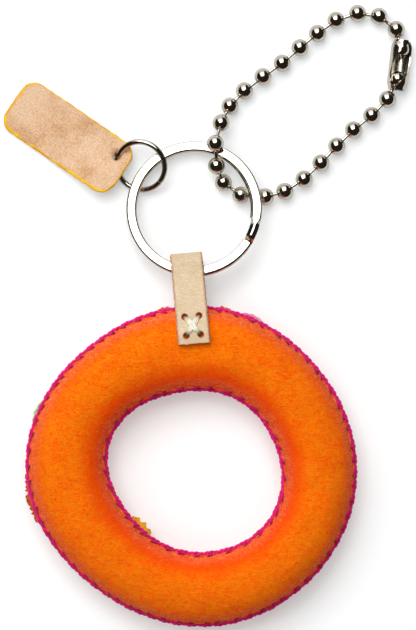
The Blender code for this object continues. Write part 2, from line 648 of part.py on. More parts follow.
def tag_outline():
    """The tag's rounded outline, as points along and across it."""
    half_length = TAG_LENGTH / 2.0 - TAG_CORNER
    half_width = TAG_WIDTH / 2.0 - TAG_CORNER
    corners = ((half_length, half_width, 0.0), (-half_length, half_width, 90.0),
               (-half_length, -half_width, 180.0), (half_length, -half_width, 270.0))
    points = []
    for number, (x, y, start) in enumerate(corners):
        turn = np.radians(start + np.linspace(0.0, 90.0, TAG_CORNER_POINTS))
        arc = np.column_stack([x + TAG_CORNER * np.cos(turn), y + TAG_CORNER * np.sin(turn)])
        next_x, next_y, next_start = corners[(number + 1) % 4]
        next_turn = math.radians(next_start)
        next_point = np.array([next_x + TAG_CORNER * math.cos(next_turn),
                               next_y + TAG_CORNER * math.sin(next_turn)])
        count = TAG_EDGE_POINTS[number % 2]
        edge = arc[-1] + (next_point - arc[-1]) * np.linspace(0.0, 1.0, count + 1)[1:-1, None]
        points += [arc, edge]
    return np.concatenate(points)


def build_tag(parts, material):
    """The leather tag, lofted from its hole to its outline."""
    along, across = tag_axes()
    outline = tag_outline()
    outer = (tag_centre() + np.multiply.outer(outline[:, 0], along)
             + np.multiply.outer(outline[:, 1], across))
    hole = tag_hole_centre()
    hole_radius = JUMP_RING_WIRE / 2.0 + TAG_HOLE_CLEARANCE
    turn = np.arctan2(outer[:, 1] - hole[1], outer[:, 0] - hole[0])
    even = turn[0] + np.linspace(0.0, math.tau, len(turn), endpoint=False)
    turn = 0.5 * np.unwrap(turn) + 0.5 * even
    inner = hole + hole_radius * np.column_stack([np.cos(turn), np.sin(turn)])
    rows = []
    for share in TAG_RINGS:
        plan = inner + (outer - inner) * share
        rows.append(np.column_stack([plan, tag_height(plan)]))
    mesh = mesh_from_grid("leather_tag", np.stack(rows), close_columns=True)
    shade_round(mesh, 50.0)
    tag = new_object("leather_tag", mesh, parts, material)
    thicken(tag, TAG_THICKNESS, offset=0.0)
    return tag


def chain_points():
    """Ball centres: on the table, over the split ring, or in the connector."""
    route = np.array(CHAIN_ROUTE)
    plan = np.array(SPLIT_RING_CENTRE) + route[:, :2] * CHAIN_UNIT
    crossing = plan[int(np.argmax(route[:, 2]))]
    over = band_height(crossing) + SPLIT_RING_THICKNESS / 2.0 + BEAD_RADIUS + BEAD_OVER_RING
    height = BEAD_RADIUS + route[:, 2] * (over - BEAD_RADIUS)
    height[[0, -1]] = CONNECTOR_RADIUS
    return np.column_stack([plan, height])


def aim(obj, point, direction):
    """Places an object with its own Z along a direction."""
    turn = Vector(direction).to_track_quat("Z", "Y").to_matrix().to_4x4()
    obj.matrix_world = Matrix.Translation(Vector(point)) @ turn


def link_profile(length):
    """A link from inside its own ball to its head, top to bottom."""
    wire = LINK_WIRE / 2.0
    head = LINK_HEAD / 2.0
    shoulder = LINK_HEAD_SHOULDER * head
    foot = BEAD_RADIUS - BEAD_WALL
    return ((0.0, length + head), (shoulder, length + shoulder), (head, length),
            (wire, length - LINK_HEAD_BASE * head), (wire, foot), (0.0, foot))


def socket_profile():
    """The hollow of a ball and its mouth, top to bottom, with the mouth towards +Z."""
    mouth = LINK_WIRE / 2.0 + CLEARANCE
    hollow = BEAD_RADIUS - BEAD_WALL
    section = [(radius * hollow, height * hollow) for radius, height in SOCKET_SECTION]
    return [(0.0, BEAD_DIAMETER), (mouth, BEAD_DIAMETER), (mouth, SOCKET_MOUTH_HEIGHT * hollow), *section]


def build_chain(parts, cutters, material):
    """The hollow balls, each with the link that runs into the next one."""
    centres = chain_points()
    socket = turned_mesh("socket", socket_profile(), 6)
    beads = []
    for number, centre in enumerate(centres):
        name = f"chain_bead_{number + 1:02d}"
        shape = bmesh.new()
        bmesh.ops.create_icosphere(shape, subdivisions=2, radius=BEAD_RADIUS)
        mesh = bpy.data.meshes.new(name)
        shape.to_mesh(mesh)
        shape.free()
        shade_round(mesh, 60.0)
        bead = new_object(name, mesh, parts, material)
        bead.location = centre
        if number > 0:
            hollow = new_object(f"socket_{number + 1:02d}", socket, cutters)
            aim(hollow, centre, centres[number - 1] - centre)
            combine(bead, hollow, "DIFFERENCE")
        if number < len(centres) - 1:
            step = centres[number + 1] - centre
            length = float(np.linalg.norm(step)) - LINK_HEAD_DEPTH
            link_name = f"link_{number + 1:02d}"
            link = new_object(link_name, turned_mesh(link_name, link_profile(length), 6), cutters)
            aim(link, centre, step)
            combine(bead, link, "UNION")
        beads.append(bead)
    return beads


def build_connector(parts, material):
    """The connector: a rolled tube with narrow necks and a slot that is wide in the middle."""
    centres = chain_points()
    axis = unit(centres[0] - centres[-1])
    middle = (centres[0] + centres[-1]) / 2.0
    side = unit(np.cross(axis, [0.0, 0.0, 1.0]))
    up = np.cross(side, axis)
    station = np.array(CONNECTOR_STATIONS)
    taper = smooth_step((np.abs(station) - CONNECTOR_TAPER_START) / (1.0 - CONNECTOR_TAPER_START))
    radius = CONNECTOR_RADIUS * (1.0 - taper * (1.0 - CONNECTOR_NECK))
    opening = CONNECTOR_SLOT_END + (CONNECTOR_SLOT_MIDDLE - CONNECTOR_SLOT_END) * smooth_step(
        CONNECTOR_SLOT_TAPER * (1.0 - np.abs(station)))
    share = np.linspace(0.0, 1.0, CONNECTOR_SIDES)
    facing = CONNECTOR_SLOT_TURN + CONNECTOR_SLOT_TWIST * station
    turn = np.radians(facing[:, None] + opening[:, None] + (360.0 - 2.0 * opening[:, None]) * share)
    points = (middle + np.multiply.outer(station * CONNECTOR_LENGTH / 2.0, axis)[:, None]
              + (radius[:, None] * np.sin(turn))[..., None] * side
              + (radius[:, None] * np.cos(turn))[..., None] * up)
    mesh = mesh_from_grid("chain_connector", points)
    shade_round(mesh, 60.0)
    connector = new_object("chain_connector", mesh, parts, material)
    thicken(connector, CONNECTOR_WALL)
    return connector


def hang_on(name, point, direction, parts, children):
    """An empty on a joint's axis, which carries the pieces that turn about it."""
    empty = bpy.data.objects.new(name, None)
    empty.empty_display_size = BEAD_DIAMETER
    parts.objects.link(empty)
    aim(empty, point, direction)
    bpy.context.view_layer.update()
    for child in children:
        child.parent = empty
        child.matrix_parent_inverse = empty.matrix_world.inverted()
    return empty


def build_charm():
    """Every piece of the charm, placed as it lies on the table."""
    for obj in list(bpy.data.objects):
        bpy.data.objects.remove(obj)
    parts = new_collection("felt_bag_charm")
    cutters = new_collection("cutters")

    orange_felt = new_material("orange_wool_felt", (1.0, 0.19, 0.003), 0.95)
    mustard_felt = new_material("mustard_wool_felt", (0.80, 0.40, 0.02), 0.95)
    green_felt = new_material("pale_green_wool_felt", (0.45, 0.68, 0.36), 0.95)
    pink_felt = new_material("pink_wool_felt", (0.85, 0.30, 0.42), 0.95)
    stuffing = new_material("polyester_stuffing", (0.85, 0.84, 0.80), 1.0)
    yarn = new_material("magenta_cotton_yarn", (0.80, 0.0, 0.20), 0.85)
    thread = new_material("waxed_white_thread", (0.87, 0.84, 0.72), 0.7)
    strap_leather = new_material("cream_tanned_leather", (0.77, 0.58, 0.37), 0.75)
    tag_leather = new_material("natural_tanned_leather", (0.75, 0.45, 0.25), 0.8)
    nickel = new_material("polished_nickel_plate", (0.70, 0.66, 0.60), 0.12, 1.0)

    build_felt_panel("felt_panel_upper", 1, parts, orange_felt)
    build_felt_panel("felt_panel_lower", -1, parts, orange_felt)
    build_filling(parts, stuffing)
    build_seam_thread("outer_seam_thread", outer_rim, 60, parts, yarn)
    build_seam_thread("inner_seam_thread", inner_rim, 40, parts, yarn)
    for values, felt in zip(PATCHES, (mustard_felt, green_felt, pink_felt)):
        build_patch(*values, parts, felt)
    build_strap(parts, cutters, strap_leather)
    build_strap_stitch("strap_stitch_upper", 1.0, parts, cutters, thread)
    build_strap_stitch("strap_stitch_lower", -1.0, parts, cutters, thread)

    split_ring = build_split_ring(parts, nickel)
    jump_ring = build_jump_ring(parts, nickel)
    tag = build_tag(parts, tag_leather)
    chain = build_chain(parts, cutters, nickel)
    chain.append(build_connector(parts, nickel))

    crossing = strap_crossing()
    outward = unit(crossing - np.array(SPLIT_RING_CENTRE))
    tangent = np.array([-outward[1], outward[0], 0.0])
    tangent[2] = -(tangent[:2] @ RING_NORMAL[:2]) / RING_NORMAL[2]
    ring_pivot = np.array([*crossing, band_height(crossing)])
    lift = hang_on("split_ring_axis", ring_pivot, unit(tangent), parts, [split_ring])
    slide = hang_on("chain_axis", RING_MIDDLE, RING_NORMAL, parts, chain)
    jump = hang_on("jump_ring_axis", RING_MIDDLE, RING_NORMAL, parts, [jump_ring])
    centre, normal, _ = jump_ring_plane()
    swing = hang_on("tag_axis", centre, normal, parts, [tag])
    for child, parent in ((slide, lift), (jump, lift), (swing, jump)):
        child.parent = parent
        child.matrix_parent_inverse = parent.matrix_world.inverted()


build_charm()
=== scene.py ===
"""Felt bag charm on a table: stuffed felt ring, leather strap, split ring, jump ring, tag and ball chain.

Metres, +Z up, seen from straight above. Each new piece replaces the plain solid of the same place.
"""
import math

import bpy
import numpy as np
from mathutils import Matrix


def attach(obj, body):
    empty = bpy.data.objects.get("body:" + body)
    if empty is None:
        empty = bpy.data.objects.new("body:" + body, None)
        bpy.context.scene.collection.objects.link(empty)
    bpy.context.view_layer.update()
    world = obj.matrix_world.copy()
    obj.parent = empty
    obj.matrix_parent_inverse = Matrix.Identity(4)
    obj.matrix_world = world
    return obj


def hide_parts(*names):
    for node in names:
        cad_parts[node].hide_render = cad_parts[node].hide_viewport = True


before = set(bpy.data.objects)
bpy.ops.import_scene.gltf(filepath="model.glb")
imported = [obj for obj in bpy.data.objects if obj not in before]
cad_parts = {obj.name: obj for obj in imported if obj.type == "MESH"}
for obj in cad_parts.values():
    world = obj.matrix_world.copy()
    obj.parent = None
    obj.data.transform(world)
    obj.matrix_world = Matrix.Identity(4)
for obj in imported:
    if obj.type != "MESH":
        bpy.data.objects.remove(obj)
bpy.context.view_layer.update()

MM = 0.001
TAU = math.tau

# Sizes of the model, in millimetres turned to metres
FELT_CENTRE = np.array([-4.44, -35.79]) * MM
HOLE_CENTRE = np.array([-3.44, -37.09]) * MM
FELT_RADIUS = 38.4 * MM
HOLE_RADIUS = 19.7 * MM
OUTER_LOBES = ((1, 0.021, -12.0), (2, 0.020, -17.0), (3, 0.012, -55.0), (4, 0.010, -1.0))
INNER_LOBES = ((1, 0.024, 25.0), (2, 0.051, -23.0), (3, 0.017, 45.0), (4, 0.015, -24.0))
MID_HEIGHT = 7.5 * MM
FELT_THICKNESS = 1.5 * MM
SEAM_HEIGHT = 1.65 * MM
SEAM_GAP = 0.15 * MM
RIM_INSET = 0.95 * MM
SEAM_PINCH = 0.3 * MM
FLATTENING = 0.35 * MM
DOME_POWER = 2.3              # how square the stuffed section is
DOME_ROUNDING = 0.62
BELLY_DENT = 2.65 * MM        # how far the strap presses the belly in
DENT_MARGIN = 0.8 * MM        # of that dent beside the strap
DENT_FADE = 4.0 * MM
SWELL_REACH = 0.7 * MM        # how far the stuffing may push the felt out
CUT_EDGE_HEIGHT = 0.8 * MM    # of a panel's cut edge from the middle plane
CUT_EDGE_BULGE = 0.12 * MM
# Where the lower panel was cut proud of the seam: direction and spread in degrees, and how far
PROUD_EDGES = ((193.0, 14.0, 1.55 * MM), (99.0, 3.5, 1.2 * MM), (77.0, 3.5, 1.2 * MM), (300.0, 9.0, 0.9 * MM))
OUTER_STITCHES = 71
INNER_STITCHES = 35
STITCH_PLACE = 0.93           # of the stitches' holes between the middle of the tube, 0, and its rims, 1
PLY_RADIUS = 0.33 * MM        # of the edge run's two plies
PLY_OFFSET = 0.2 * MM
PLY_TWIST = 2.6 * MM
LEG_RADIUS = 0.24 * MM
PATCH_GAP = 0.2 * MM
PATCH_THICKNESS = 1.0 * MM
STRAP_FOLD = np.array([-5.39, 14.76]) * MM
STRAP_LEAN = math.radians(5.4)
STRAP_DIRECTION = np.array([math.sin(STRAP_LEAN), -math.cos(STRAP_LEAN)])
STRAP_ACROSS = np.array([math.cos(STRAP_LEAN), math.sin(STRAP_LEAN)])
STRAP_WIDTH = 7.6 * MM
STRAP_LENGTH = 21.6 * MM      # of one side, fold to end
STRAP_THICKNESS = 1.3 * MM
STRAP_HOLE_ROWS = (15.1 * MM, 19.55 * MM)  # from the fold
STRAP_HOLE_SPREAD = 1.7 * MM  # from the strap's middle line
STRAP_HOLES = [(row, way * STRAP_HOLE_SPREAD) for row in STRAP_HOLE_ROWS for way in (-1.0, 1.0)]
STRAP_HOLE_RADIUS = 0.775 * MM
THREAD_RADIUS = 0.15 * MM
SPLIT_RING_MIDDLE = np.array([-3.40, 25.24, 4.4]) * MM
SPLIT_RING_NORMAL = np.array([-0.06941, 0.10908, 0.99161])
BAND_RADIUS = 15.0 * MM
BAND_HALF_HEIGHT = 1.0 * MM   # of the two turns together
TURN_HEIGHT = 0.525 * MM      # of one turn's middle from the middle plane
UPPER_END, LOWER_END = -31.7, -728.6  # of the wire, in degrees round the ring
CRANK = 6.0                   # degrees over which the upper turn comes down on the lower one
NIP_START, NIP_END = -369.0, -400.0   # of the ridge there, in degrees
SPRING_START, SPRING = -645.0, 0.42 * MM  # where the lower end springs inwards, and how far
JUMP_RING_MIDDLE = np.array([-16.18, 35.59, 2.985]) * MM
JUMP_RING_NORMAL = np.array([-0.24633, -0.30416, 0.92022])
JUMP_RING_RADIUS = 5.93 * MM
JUMP_RING_WIRE = 0.66 * MM    # its radius
JUMP_RING_ENDS = (-41.8, 316.6)  # degrees
TAG_CENTRE = np.array([-33.28, 42.21]) * MM
TAG_HOLE = np.array([-21.661, 38.131]) * MM
TAG_TURN = math.radians(-34.6)
TAG_ALONG = np.array([math.cos(TAG_TURN), math.sin(TAG_TURN)])
TAG_ACROSS = np.array([-TAG_ALONG[1], TAG_ALONG[0]])
TAG_SIZE = (31.0 * MM, 14.0 * MM)
TAG_STRETCH = 0.7 * MM        # how much longer the hand-cut tag is at its free end
TAG_THICKNESS = 1.2 * MM
TAG_CORNER = 3.8 * MM
TAG_HOLE_SIZE = (1.35 * MM, 0.84 * MM)  # half of the slit, along the wire and across it
TAG_HOLE_SLANT = 1.4 * MM  # how far the slit leans with the wire from the upper face to the lower one
TAG_HOLE_TURN = math.radians(63.0)
TAG_LIFT = 1.8 * MM           # of its hole over its free end
TAG_BEND_HEIGHT = 1.125 * MM
TAG_BEND_LENGTH = 1.77 * MM
TAG_BEND_WIDTH = 6.2 * MM
TAG_BEND_TURN = math.radians(243.0)  # the direction in which the bend rises
# Where the brush ran over the tag's face: place along and across the tag, and radius, in millimetres
PAINT_SPOTS = ((-15.1, -5.0, 1.0), (-12.5, -6.3, 1.7), (-10.5, -6.7, 1.4), (2.0, -6.3, 0.7), (5.5, -6.3, 0.8))
BALL_RADIUS = 2.05 * MM
BALL_MOUTH = 0.62 * MM
BALL_OVER_RING = 0.25 * MM    # left under the ball that rides on the split ring
CONNECTOR_LENGTH = 12.0 * MM
CONNECTOR_RADIUS = 2.5 * MM
CONNECTOR_WALL = 0.3 * MM
# Ball centres from the split ring's centre: x and y in millimetres, and the share of the lift over the ring
CHAIN_ROUTE = (
    (49.31, 37.34, 0.0), (48.21, 42.92, 0.0), (44.08, 46.06, 0.0), (38.96, 46.77, 0.0), (33.82, 45.13, 0.0),
    (29.39, 42.01, 0.0), (25.20, 38.58, 0.0), (20.97, 34.89, 0.0), (16.37, 31.68, 0.0), (11.95, 28.30, 0.0),
    (8.50, 24.66, 0.0), (6.38, 20.52, 0.44), (5.02, 15.54, 1.0), (5.28, 10.26, 0.51), (6.93, 6.36, 0.0),
    (11.09, 3.38, 0.0), (16.94, 2.98, 0.0), (21.59, 4.29, 0.0), (26.18, 7.24, 0.0), (30.20, 11.07, 0.0),
    (33.99, 15.12, 0.0), (37.98, 18.97, 0.0), (42.34, 22.42, 0.0), (46.10, 26.30, 0.0), (48.61, 31.48, 0.0),
)


# Surfaces
def unit(vectors):
    """Vectors of length one."""
    return vectors / np.linalg.norm(vectors, axis=-1, keepdims=True)


def smooth_step(value):
    """0 below 0, 1 above 1 and 3 v^2 - 2 v^3 between."""
    clipped = np.clip(value, 0.0, 1.0)
    return clipped * clipped * (3.0 - 2.0 * clipped)


def lumps(points, size, seed):
    """Smooth unevenness from about -1 to 1: twelve sine waves in seeded directions, about one size long."""
    random = np.random.default_rng(seed)
    direction = unit(random.normal(size=(12, 3))) * (TAU / size * random.uniform(0.6, 1.6, 12))[:, None]
    waves = np.sin(points @ direction.T + random.uniform(0.0, TAU, 12))
    return waves.mean(axis=-1) * 2.2


def skin(points, close_rows=False, close_columns=False, capped=False):
    """Points and faces of a grid shaped (rows, columns, 3); it faces along column step x row step."""
    rows, columns = points.shape[:2]
    row, column = np.meshgrid(np.arange(rows if close_rows else rows - 1),
                              np.arange(columns if close_columns else columns - 1), indexing="ij")
    next_row, next_column = (row + 1) % rows, (column + 1) % columns
    corners = (row * columns + column, row * columns + next_column,
               next_row * columns + next_column, next_row * columns + column)
    faces = np.stack(corners, axis=-1).reshape(-1, 4).tolist()
    if capped:
        first = list(range(columns))
        faces += [first[::-1], [(rows - 1) * columns + number for number in first]]
    return points.reshape(-1, 3), faces


def tube(path, radius, sides, reference, closed=False):
    """A round section carried along a path: p + r (n cos a + b sin a), n being the reference squared to the path."""
    if closed:
        tangent = unit(np.roll(path, -1, axis=0) - np.roll(path, 1, axis=0))
    else:
        tangent = unit(np.gradient(path, axis=0))
    reference = np.broadcast_to(reference, path.shape)
    first = unit(reference - (reference * tangent).sum(axis=-1, keepdims=True) * tangent)
    second = np.cross(tangent, first)
    turn = np.arange(sides) * TAU / sides
    radius = np.broadcast_to(radius, len(path))[:, None, None]
    ring = np.cos(turn)[:, None] * first[:, None] + np.sin(turn)[:, None] * second[:, None]
    return skin(path[:, None] + radius * ring, closed, True, capped=not closed)


def make_mesh(name, shapes):
    """One mesh of several (points, faces) shapes."""
    points, faces, start = [], [], 0
    for shape_points, shape_faces in shapes:
        points.append(shape_points)
        faces += [[corner + start for corner in face] for face in shape_faces]
        start += len(shape_points)
    mesh = bpy.data.meshes.new(name)
    mesh.from_pydata(np.concatenate(points).tolist(), [], faces)
    return mesh


def add_object(name, data):
    """An object of the scene that holds a mesh, a lamp or a camera."""
    added = bpy.data.objects.new(name, data)
    bpy.context.scene.collection.objects.link(added)
    return added


def make_piece(name, shapes, material, body, replaced=(), sharp=None):
    """A smooth piece of several shapes that rides on a body and stands for the replaced nodes."""
    mesh = shapes if isinstance(shapes, bpy.types.Mesh) else make_mesh(name, shapes)
    mesh.shade_smooth()
    if sharp is not None:
        mesh.set_sharp_from_angle(angle=math.radians(sharp))
    mesh.materials.clear()
    mesh.materials.append(material)
    piece = add_object(name, mesh)
    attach(piece, body)
    if replaced:
        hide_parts(*replaced)
    return piece


def set_attribute(mesh, name, values):
    """A value per point that a material reads."""
    layer = mesh.attributes.new(name, "FLOAT", "POINT")
    layer.data.foreach_set("value", np.ascontiguousarray(values, dtype=np.float32))


def mesh_points(mesh):
    """The points of a mesh as an array."""
    flat = np.empty(len(mesh.vertices) * 3)
    mesh.vertices.foreach_get("co", flat)
    return flat.reshape(-1, 3)


def step_evenly(line, count, to_end=True):
    """A line of points stepped evenly by length."""
    length = np.concatenate([[0.0], np.cumsum(np.linalg.norm(np.diff(line, axis=0), axis=-1))])
    even = np.linspace(0.0, length[-1], count, endpoint=to_end)
    return np.stack([np.interp(even, length, line[:, axis]) for axis in range(line.shape[1])], axis=-1)


def smooth_path(points, count):
    """A Catmull-Rom curve through points, stepped evenly by length."""
    padded = np.concatenate([2 * points[:1] - points[1:2], points, 2 * points[-1:] - points[-2:-1]])
    share = np.linspace(0.0, len(points) - 1.0, 60 * len(points))
    start = np.minimum(share.astype(int), len(points) - 2)
    t = (share - start)[:, None]
    a, b, c, d = (padded[start + step] for step in range(4))
    curve = 0.5 * (2 * b + (c - a) * t + (2 * a - 5 * b + 4 * c - d) * t ** 2 + (3 * b - a - 3 * c + d) * t ** 3)
    return step_evenly(curve, count)


# Materials
def linear(code, alpha=1.0):
    """A linear colour from an sRGB hex code."""
    values = [int(code[step:step + 2], 16) / 255.0 for step in (1, 3, 5)]
    return (*(v / 12.92 if v <= 0.04045 else ((v + 0.055) / 1.055) ** 2.4 for v in values), alpha)


def add_node(material, kind, inputs=None, **settings):
    """A node with its settings; inputs are values or other nodes' outputs, by socket name or number."""
    node = material.node_tree.nodes.new(kind)
    for name, value in settings.items():
        setattr(node, name, value)
    for name, value in (inputs or {}).items():
        if isinstance(value, bpy.types.NodeSocket):
            material.node_tree.links.new(value, node.inputs[name])
        else:
            node.inputs[name].default_value = value
    return node


def new_material(name, **values):
    """A Principled material and its shader; values are the shader's uniform settings."""
    material = bpy.data.materials.new(name)
    material.use_nodes = True
    shader = material.node_tree.nodes["Principled BSDF"]
    for socket, value in values.items():
        shader.inputs[socket.replace("_", " ")].default_value = value
    return material, shader


def mixed(material, share, dark, light):
    """A colour that goes from dark to light, which are hex codes or outputs, with the share."""
    colours = [linear(colour) if isinstance(colour, str) else colour for colour in (dark, light)]
    return add_node(material, "ShaderNodeMix", {0: share, 6: colours[0], 7: colours[1]},
                    data_type="RGBA").outputs[2]


def noise_share(material, coordinates, size, low=0.35, high=0.65, detail=4.0, distortion=0.0):
    """Noise of a given size in metres, spread to run from 0 at low to 1 at high."""
    noise = add_node(material, "ShaderNodeTexNoise",
                     {"Vector": coordinates, "Scale": 1.0 / size, "Detail": detail, "Distortion": distortion})
    return add_node(material, "ShaderNodeMapRange",
                    {0: noise.outputs[0], 1: low, 2: high, 3: 0.0, 4: 1.0}).outputs[0]


def raise_surface(material, shader, height, depth):
    """Bump of a real depth in metres."""
    bump = add_node(material, "ShaderNodeBump", {"Height": height, "Distance": depth, "Strength": 1.0})
    material.node_tree.links.new(bump.outputs[0], shader.inputs["Normal"])


def needled_wool_felt(name, shade, middle, light, flank_shade_colour=None, fuzz=None):
    """Needled wool felt: matted fibres 0.03 mm thick in crossing strands 1.3 mm long, with pits of 0.8 mm.

    Matt, a little mottled where the dye took unevenly. Painted shade deepens the colour towards the seams, where
    pulled is high, and a painted peach sheen makes it paler where fibres stand up along the cut edges, where raised
    is high. The strands are drawn coarser than wool, so that they show.
    """
    flank_shade_colour, fuzz = flank_shade_colour or shade, fuzz or light
    material, shader = new_material(name, Roughness=1.0, Sheen_Weight=0.08, Sheen_Roughness=0.4,
                                    Subsurface_Weight=0.1, Subsurface_Scale=0.6 * MM)
    shader.inputs["Specular IOR Level"].default_value = 0.05
    shader.inputs["Subsurface Radius"].default_value = (1.0, 0.3, 0.1)
    shader.inputs["Sheen Tint"].default_value = linear("#FFC9A0")
    where = add_node(material, "ShaderNodeTexCoord").outputs["Object"]
    cloud = noise_share(material, where, 5.0 * MM, 0.4, 0.8, 5.0)
    pit = noise_share(material, where, 0.8 * MM, 0.36, 0.52, 4.0, 1.2)
    strands = []
    for turn in (0.6, -0.75):
        drawn = add_node(material, "ShaderNodeMapping",
                         {"Vector": where, "Rotation": (0.0, 0.0, turn), "Scale": (1.0, 5.0, 1.0)}).outputs[0]
        strands.append(noise_share(material, drawn, 1.3 * MM, 0.48, 0.66, 3.0, 1.8))
    strand = add_node(material, "ShaderNodeMath", {0: strands[0], 1: strands[1]}, operation="MAXIMUM").outputs[0]
    matted = mixed(material, pit, shade, mixed(material, cloud, middle, shade))
    # Painted shade: the colour deepens towards the seams, in the flank shade colour
    pulled = add_node(material, "ShaderNodeAttribute", attribute_name="pulled").outputs["Fac"]
    # Painted sheen: paler peach fuzz along the cut edges
    raised = add_node(material, "ShaderNodeAttribute", attribute_name="raised").outputs["Fac"]
    colour = mixed(material, pulled, mixed(material, strand, matted, light), flank_shade_colour)
    colour = mixed(material, raised, colour, mixed(material, strand, flank_shade_colour, fuzz))
    material.node_tree.links.new(colour, shader.inputs["Base Color"])
    height = add_node(material, "ShaderNodeMath", {0: strand, 1: pit}, operation="ADD").outputs[0]
    raise_surface(material, shader, height, 0.06 * MM)
    return material


def spun_cotton_yarn(name, gap, ground, light):
    """Spun cotton yarn: matt, with painted shade on its legs in the crease, fibres drawn 0.2 mm wide to show."""
    material, shader = new_material(name, Roughness=0.9, Sheen_Weight=0.1, Sheen_Roughness=0.4)
    shader.inputs["Specular IOR Level"].default_value = 0.25
    where = add_node(material, "ShaderNodeTexCoord").outputs["Object"]
    patch = noise_share(material, where, 1.6 * MM, 0.3, 0.7)
    fibre = noise_share(material, where, 0.22 * MM, 0.3, 0.7, 3.0, 1.5)
    # Painted shade: the legs go to #BE1458 where they run down into the crease between felt and yarn
    crease_shade = add_node(material, "ShaderNodeAttribute", attribute_name="crease_shade").outputs["Fac"]
    colour = mixed(material, fibre, mixed(material, patch, gap, ground), light)
    material.node_tree.links.new(mixed(material, crease_shade, colour, "#BE1458"), shader.inputs["Base Color"])
    raise_surface(material, shader, fibre, 0.07 * MM)
    return material


def waxed_linen_thread():
    """Waxed linen thread: off-white plies with a low gloss, browned where the ends run through the leather."""
    material, shader = new_material("waxed_linen_thread", Roughness=0.42)
    where = add_node(material, "ShaderNodeTexCoord").outputs["Object"]
    fibre = noise_share(material, where, 0.3 * MM, 0.3, 0.7)
    clean = mixed(material, fibre, "#DDD6BC", "#FBF8EC")
    # Browner towards the thread's ends, where they go into the holes
    ends = add_node(material, "ShaderNodeAttribute", attribute_name="browned_ends").outputs["Fac"]
    material.node_tree.links.new(mixed(material, ends, clean, "#7D6C42"), shader.inputs["Base Color"])
    raise_surface(material, shader, fibre, 0.03 * MM)
    return material


def vegetable_tanned_strap():
    """Vegetable-tanned leather, grain side out: fine creases 0.3 by 0.9 mm and raw fibrous cut edges."""
    material, shader = new_material("vegetable_tanned_strap", Roughness=0.62)
    shader.inputs["Specular IOR Level"].default_value = 0.35
    where = add_node(material, "ShaderNodeTexCoord").outputs["Object"]
    turned = add_node(material, "ShaderNodeMapping",
                      {"Vector": where, "Rotation": (0.0, 0.0, 0.9), "Scale": (1.0, 3.2, 1.0)}).outputs[0]
    crease = noise_share(material, turned, 0.9 * MM, 0.35, 0.65, 4.0, 0.6)
    cloud = noise_share(material, where, 4.0 * MM, 0.3, 0.7)
    grain = mixed(material, cloud, "#D5BE9A", "#DDCBAD")
    grain = mixed(material, crease, "#CCB28F", grain)
    edge = add_node(material, "ShaderNodeAttribute", attribute_name="edge").outputs["Fac"]
    fibre = noise_share(material, where, 0.35 * MM, 0.3, 0.7, 4.0, 1.5)
    raw = mixed(material, fibre, "#A8765A", "#DDB89A")
    material.node_tree.links.new(mixed(material, edge, grain, raw), shader.inputs["Base Color"])
    raise_surface(material, shader, crease, 0.05 * MM)
    return material


def flesh_side_leather():
    """Tanned leather, flesh side out: short nap in pale and warm specks of 0.4 mm, edge painted by brush."""
    material, shader = new_material("flesh_side_leather", Roughness=0.85, Sheen_Weight=0.1)
    shader.inputs["Specular IOR Level"].default_value = 0.2
    where = add_node(material, "ShaderNodeTexCoord").outputs["Object"]
    cloud = noise_share(material, where, 8.0 * MM, 0.38, 0.6, 4.0)
    speck = noise_share(material, where, 0.4 * MM, 0.3, 0.66, 3.0, 0.2)
    low = mixed(material, cloud, "#B98357", "#D3A682")
    nap = mixed(material, speck, low, mixed(material, cloud, "#D8AE86", "#E6C9A9"))
    paint = add_node(material, "ShaderNodeAttribute", attribute_name="paint").outputs["Fac"]
    thin = noise_share(material, where, 2.2 * MM, 0.35, 0.65)
    coat = mixed(material, thin, "#D99A00", "#F8C404")
    # Painted shade in and around the slit, in #8A5A34
    dark = add_node(material, "ShaderNodeAttribute", attribute_name="hole_shade").outputs["Fac"]
    surface = mixed(material, paint, nap, coat)
    material.node_tree.links.new(mixed(material, dark, surface, "#8A5A34"), shader.inputs["Base Color"])
    raise_surface(material, shader, speck, 0.05 * MM)
    return material


def polished_nickel_plate():
    """Nickel plate on drawn wire and rolled sheet: bright, slightly warm, faintly hazed, dull inside the tube."""
    material, shader = new_material("polished_nickel_plate", Metallic=1.0)
    shader.inputs["Base Color"].default_value = linear("#D9D1C4")
    where = add_node(material, "ShaderNodeTexCoord").outputs["Object"]
    haze = add_node(material, "ShaderNodeTexNoise", {"Vector": where, "Scale": 1.0 / (1.5 * MM), "Detail": 4.0})
    rough = add_node(material, "ShaderNodeMapRange",
                     {0: haze.outputs[0], 1: 0.3, 2: 0.7, 3: 0.06, 4: 0.14}).outputs[0]
    inside = add_node(material, "ShaderNodeAttribute", attribute_name="unpolished").outputs["Fac"]
    rough = add_node(material, "ShaderNodeMath",
                     {0: inside, 1: 0.15, 2: rough}, operation="MULTIPLY_ADD").outputs[0]
    material.node_tree.links.new(rough, shader.inputs["Roughness"])
    return material


def loose_stuffing():
    """Polyester stuffing inside the felt: soft white fibres."""
    material, shader = new_material("polyester_stuffing", Roughness=1.0, Sheen_Weight=0.3)
    where = add_node(material, "ShaderNodeTexCoord").outputs["Object"]
    fibre = noise_share(material, where, 0.8 * MM, 0.3, 0.7, 4.0, 2.0)
    material.node_tree.links.new(mixed(material, fibre, "#CFCCC2", "#F2F0EA"), shader.inputs["Base Color"])
    raise_surface(material, shader, fibre, 0.2 * MM)
    return material


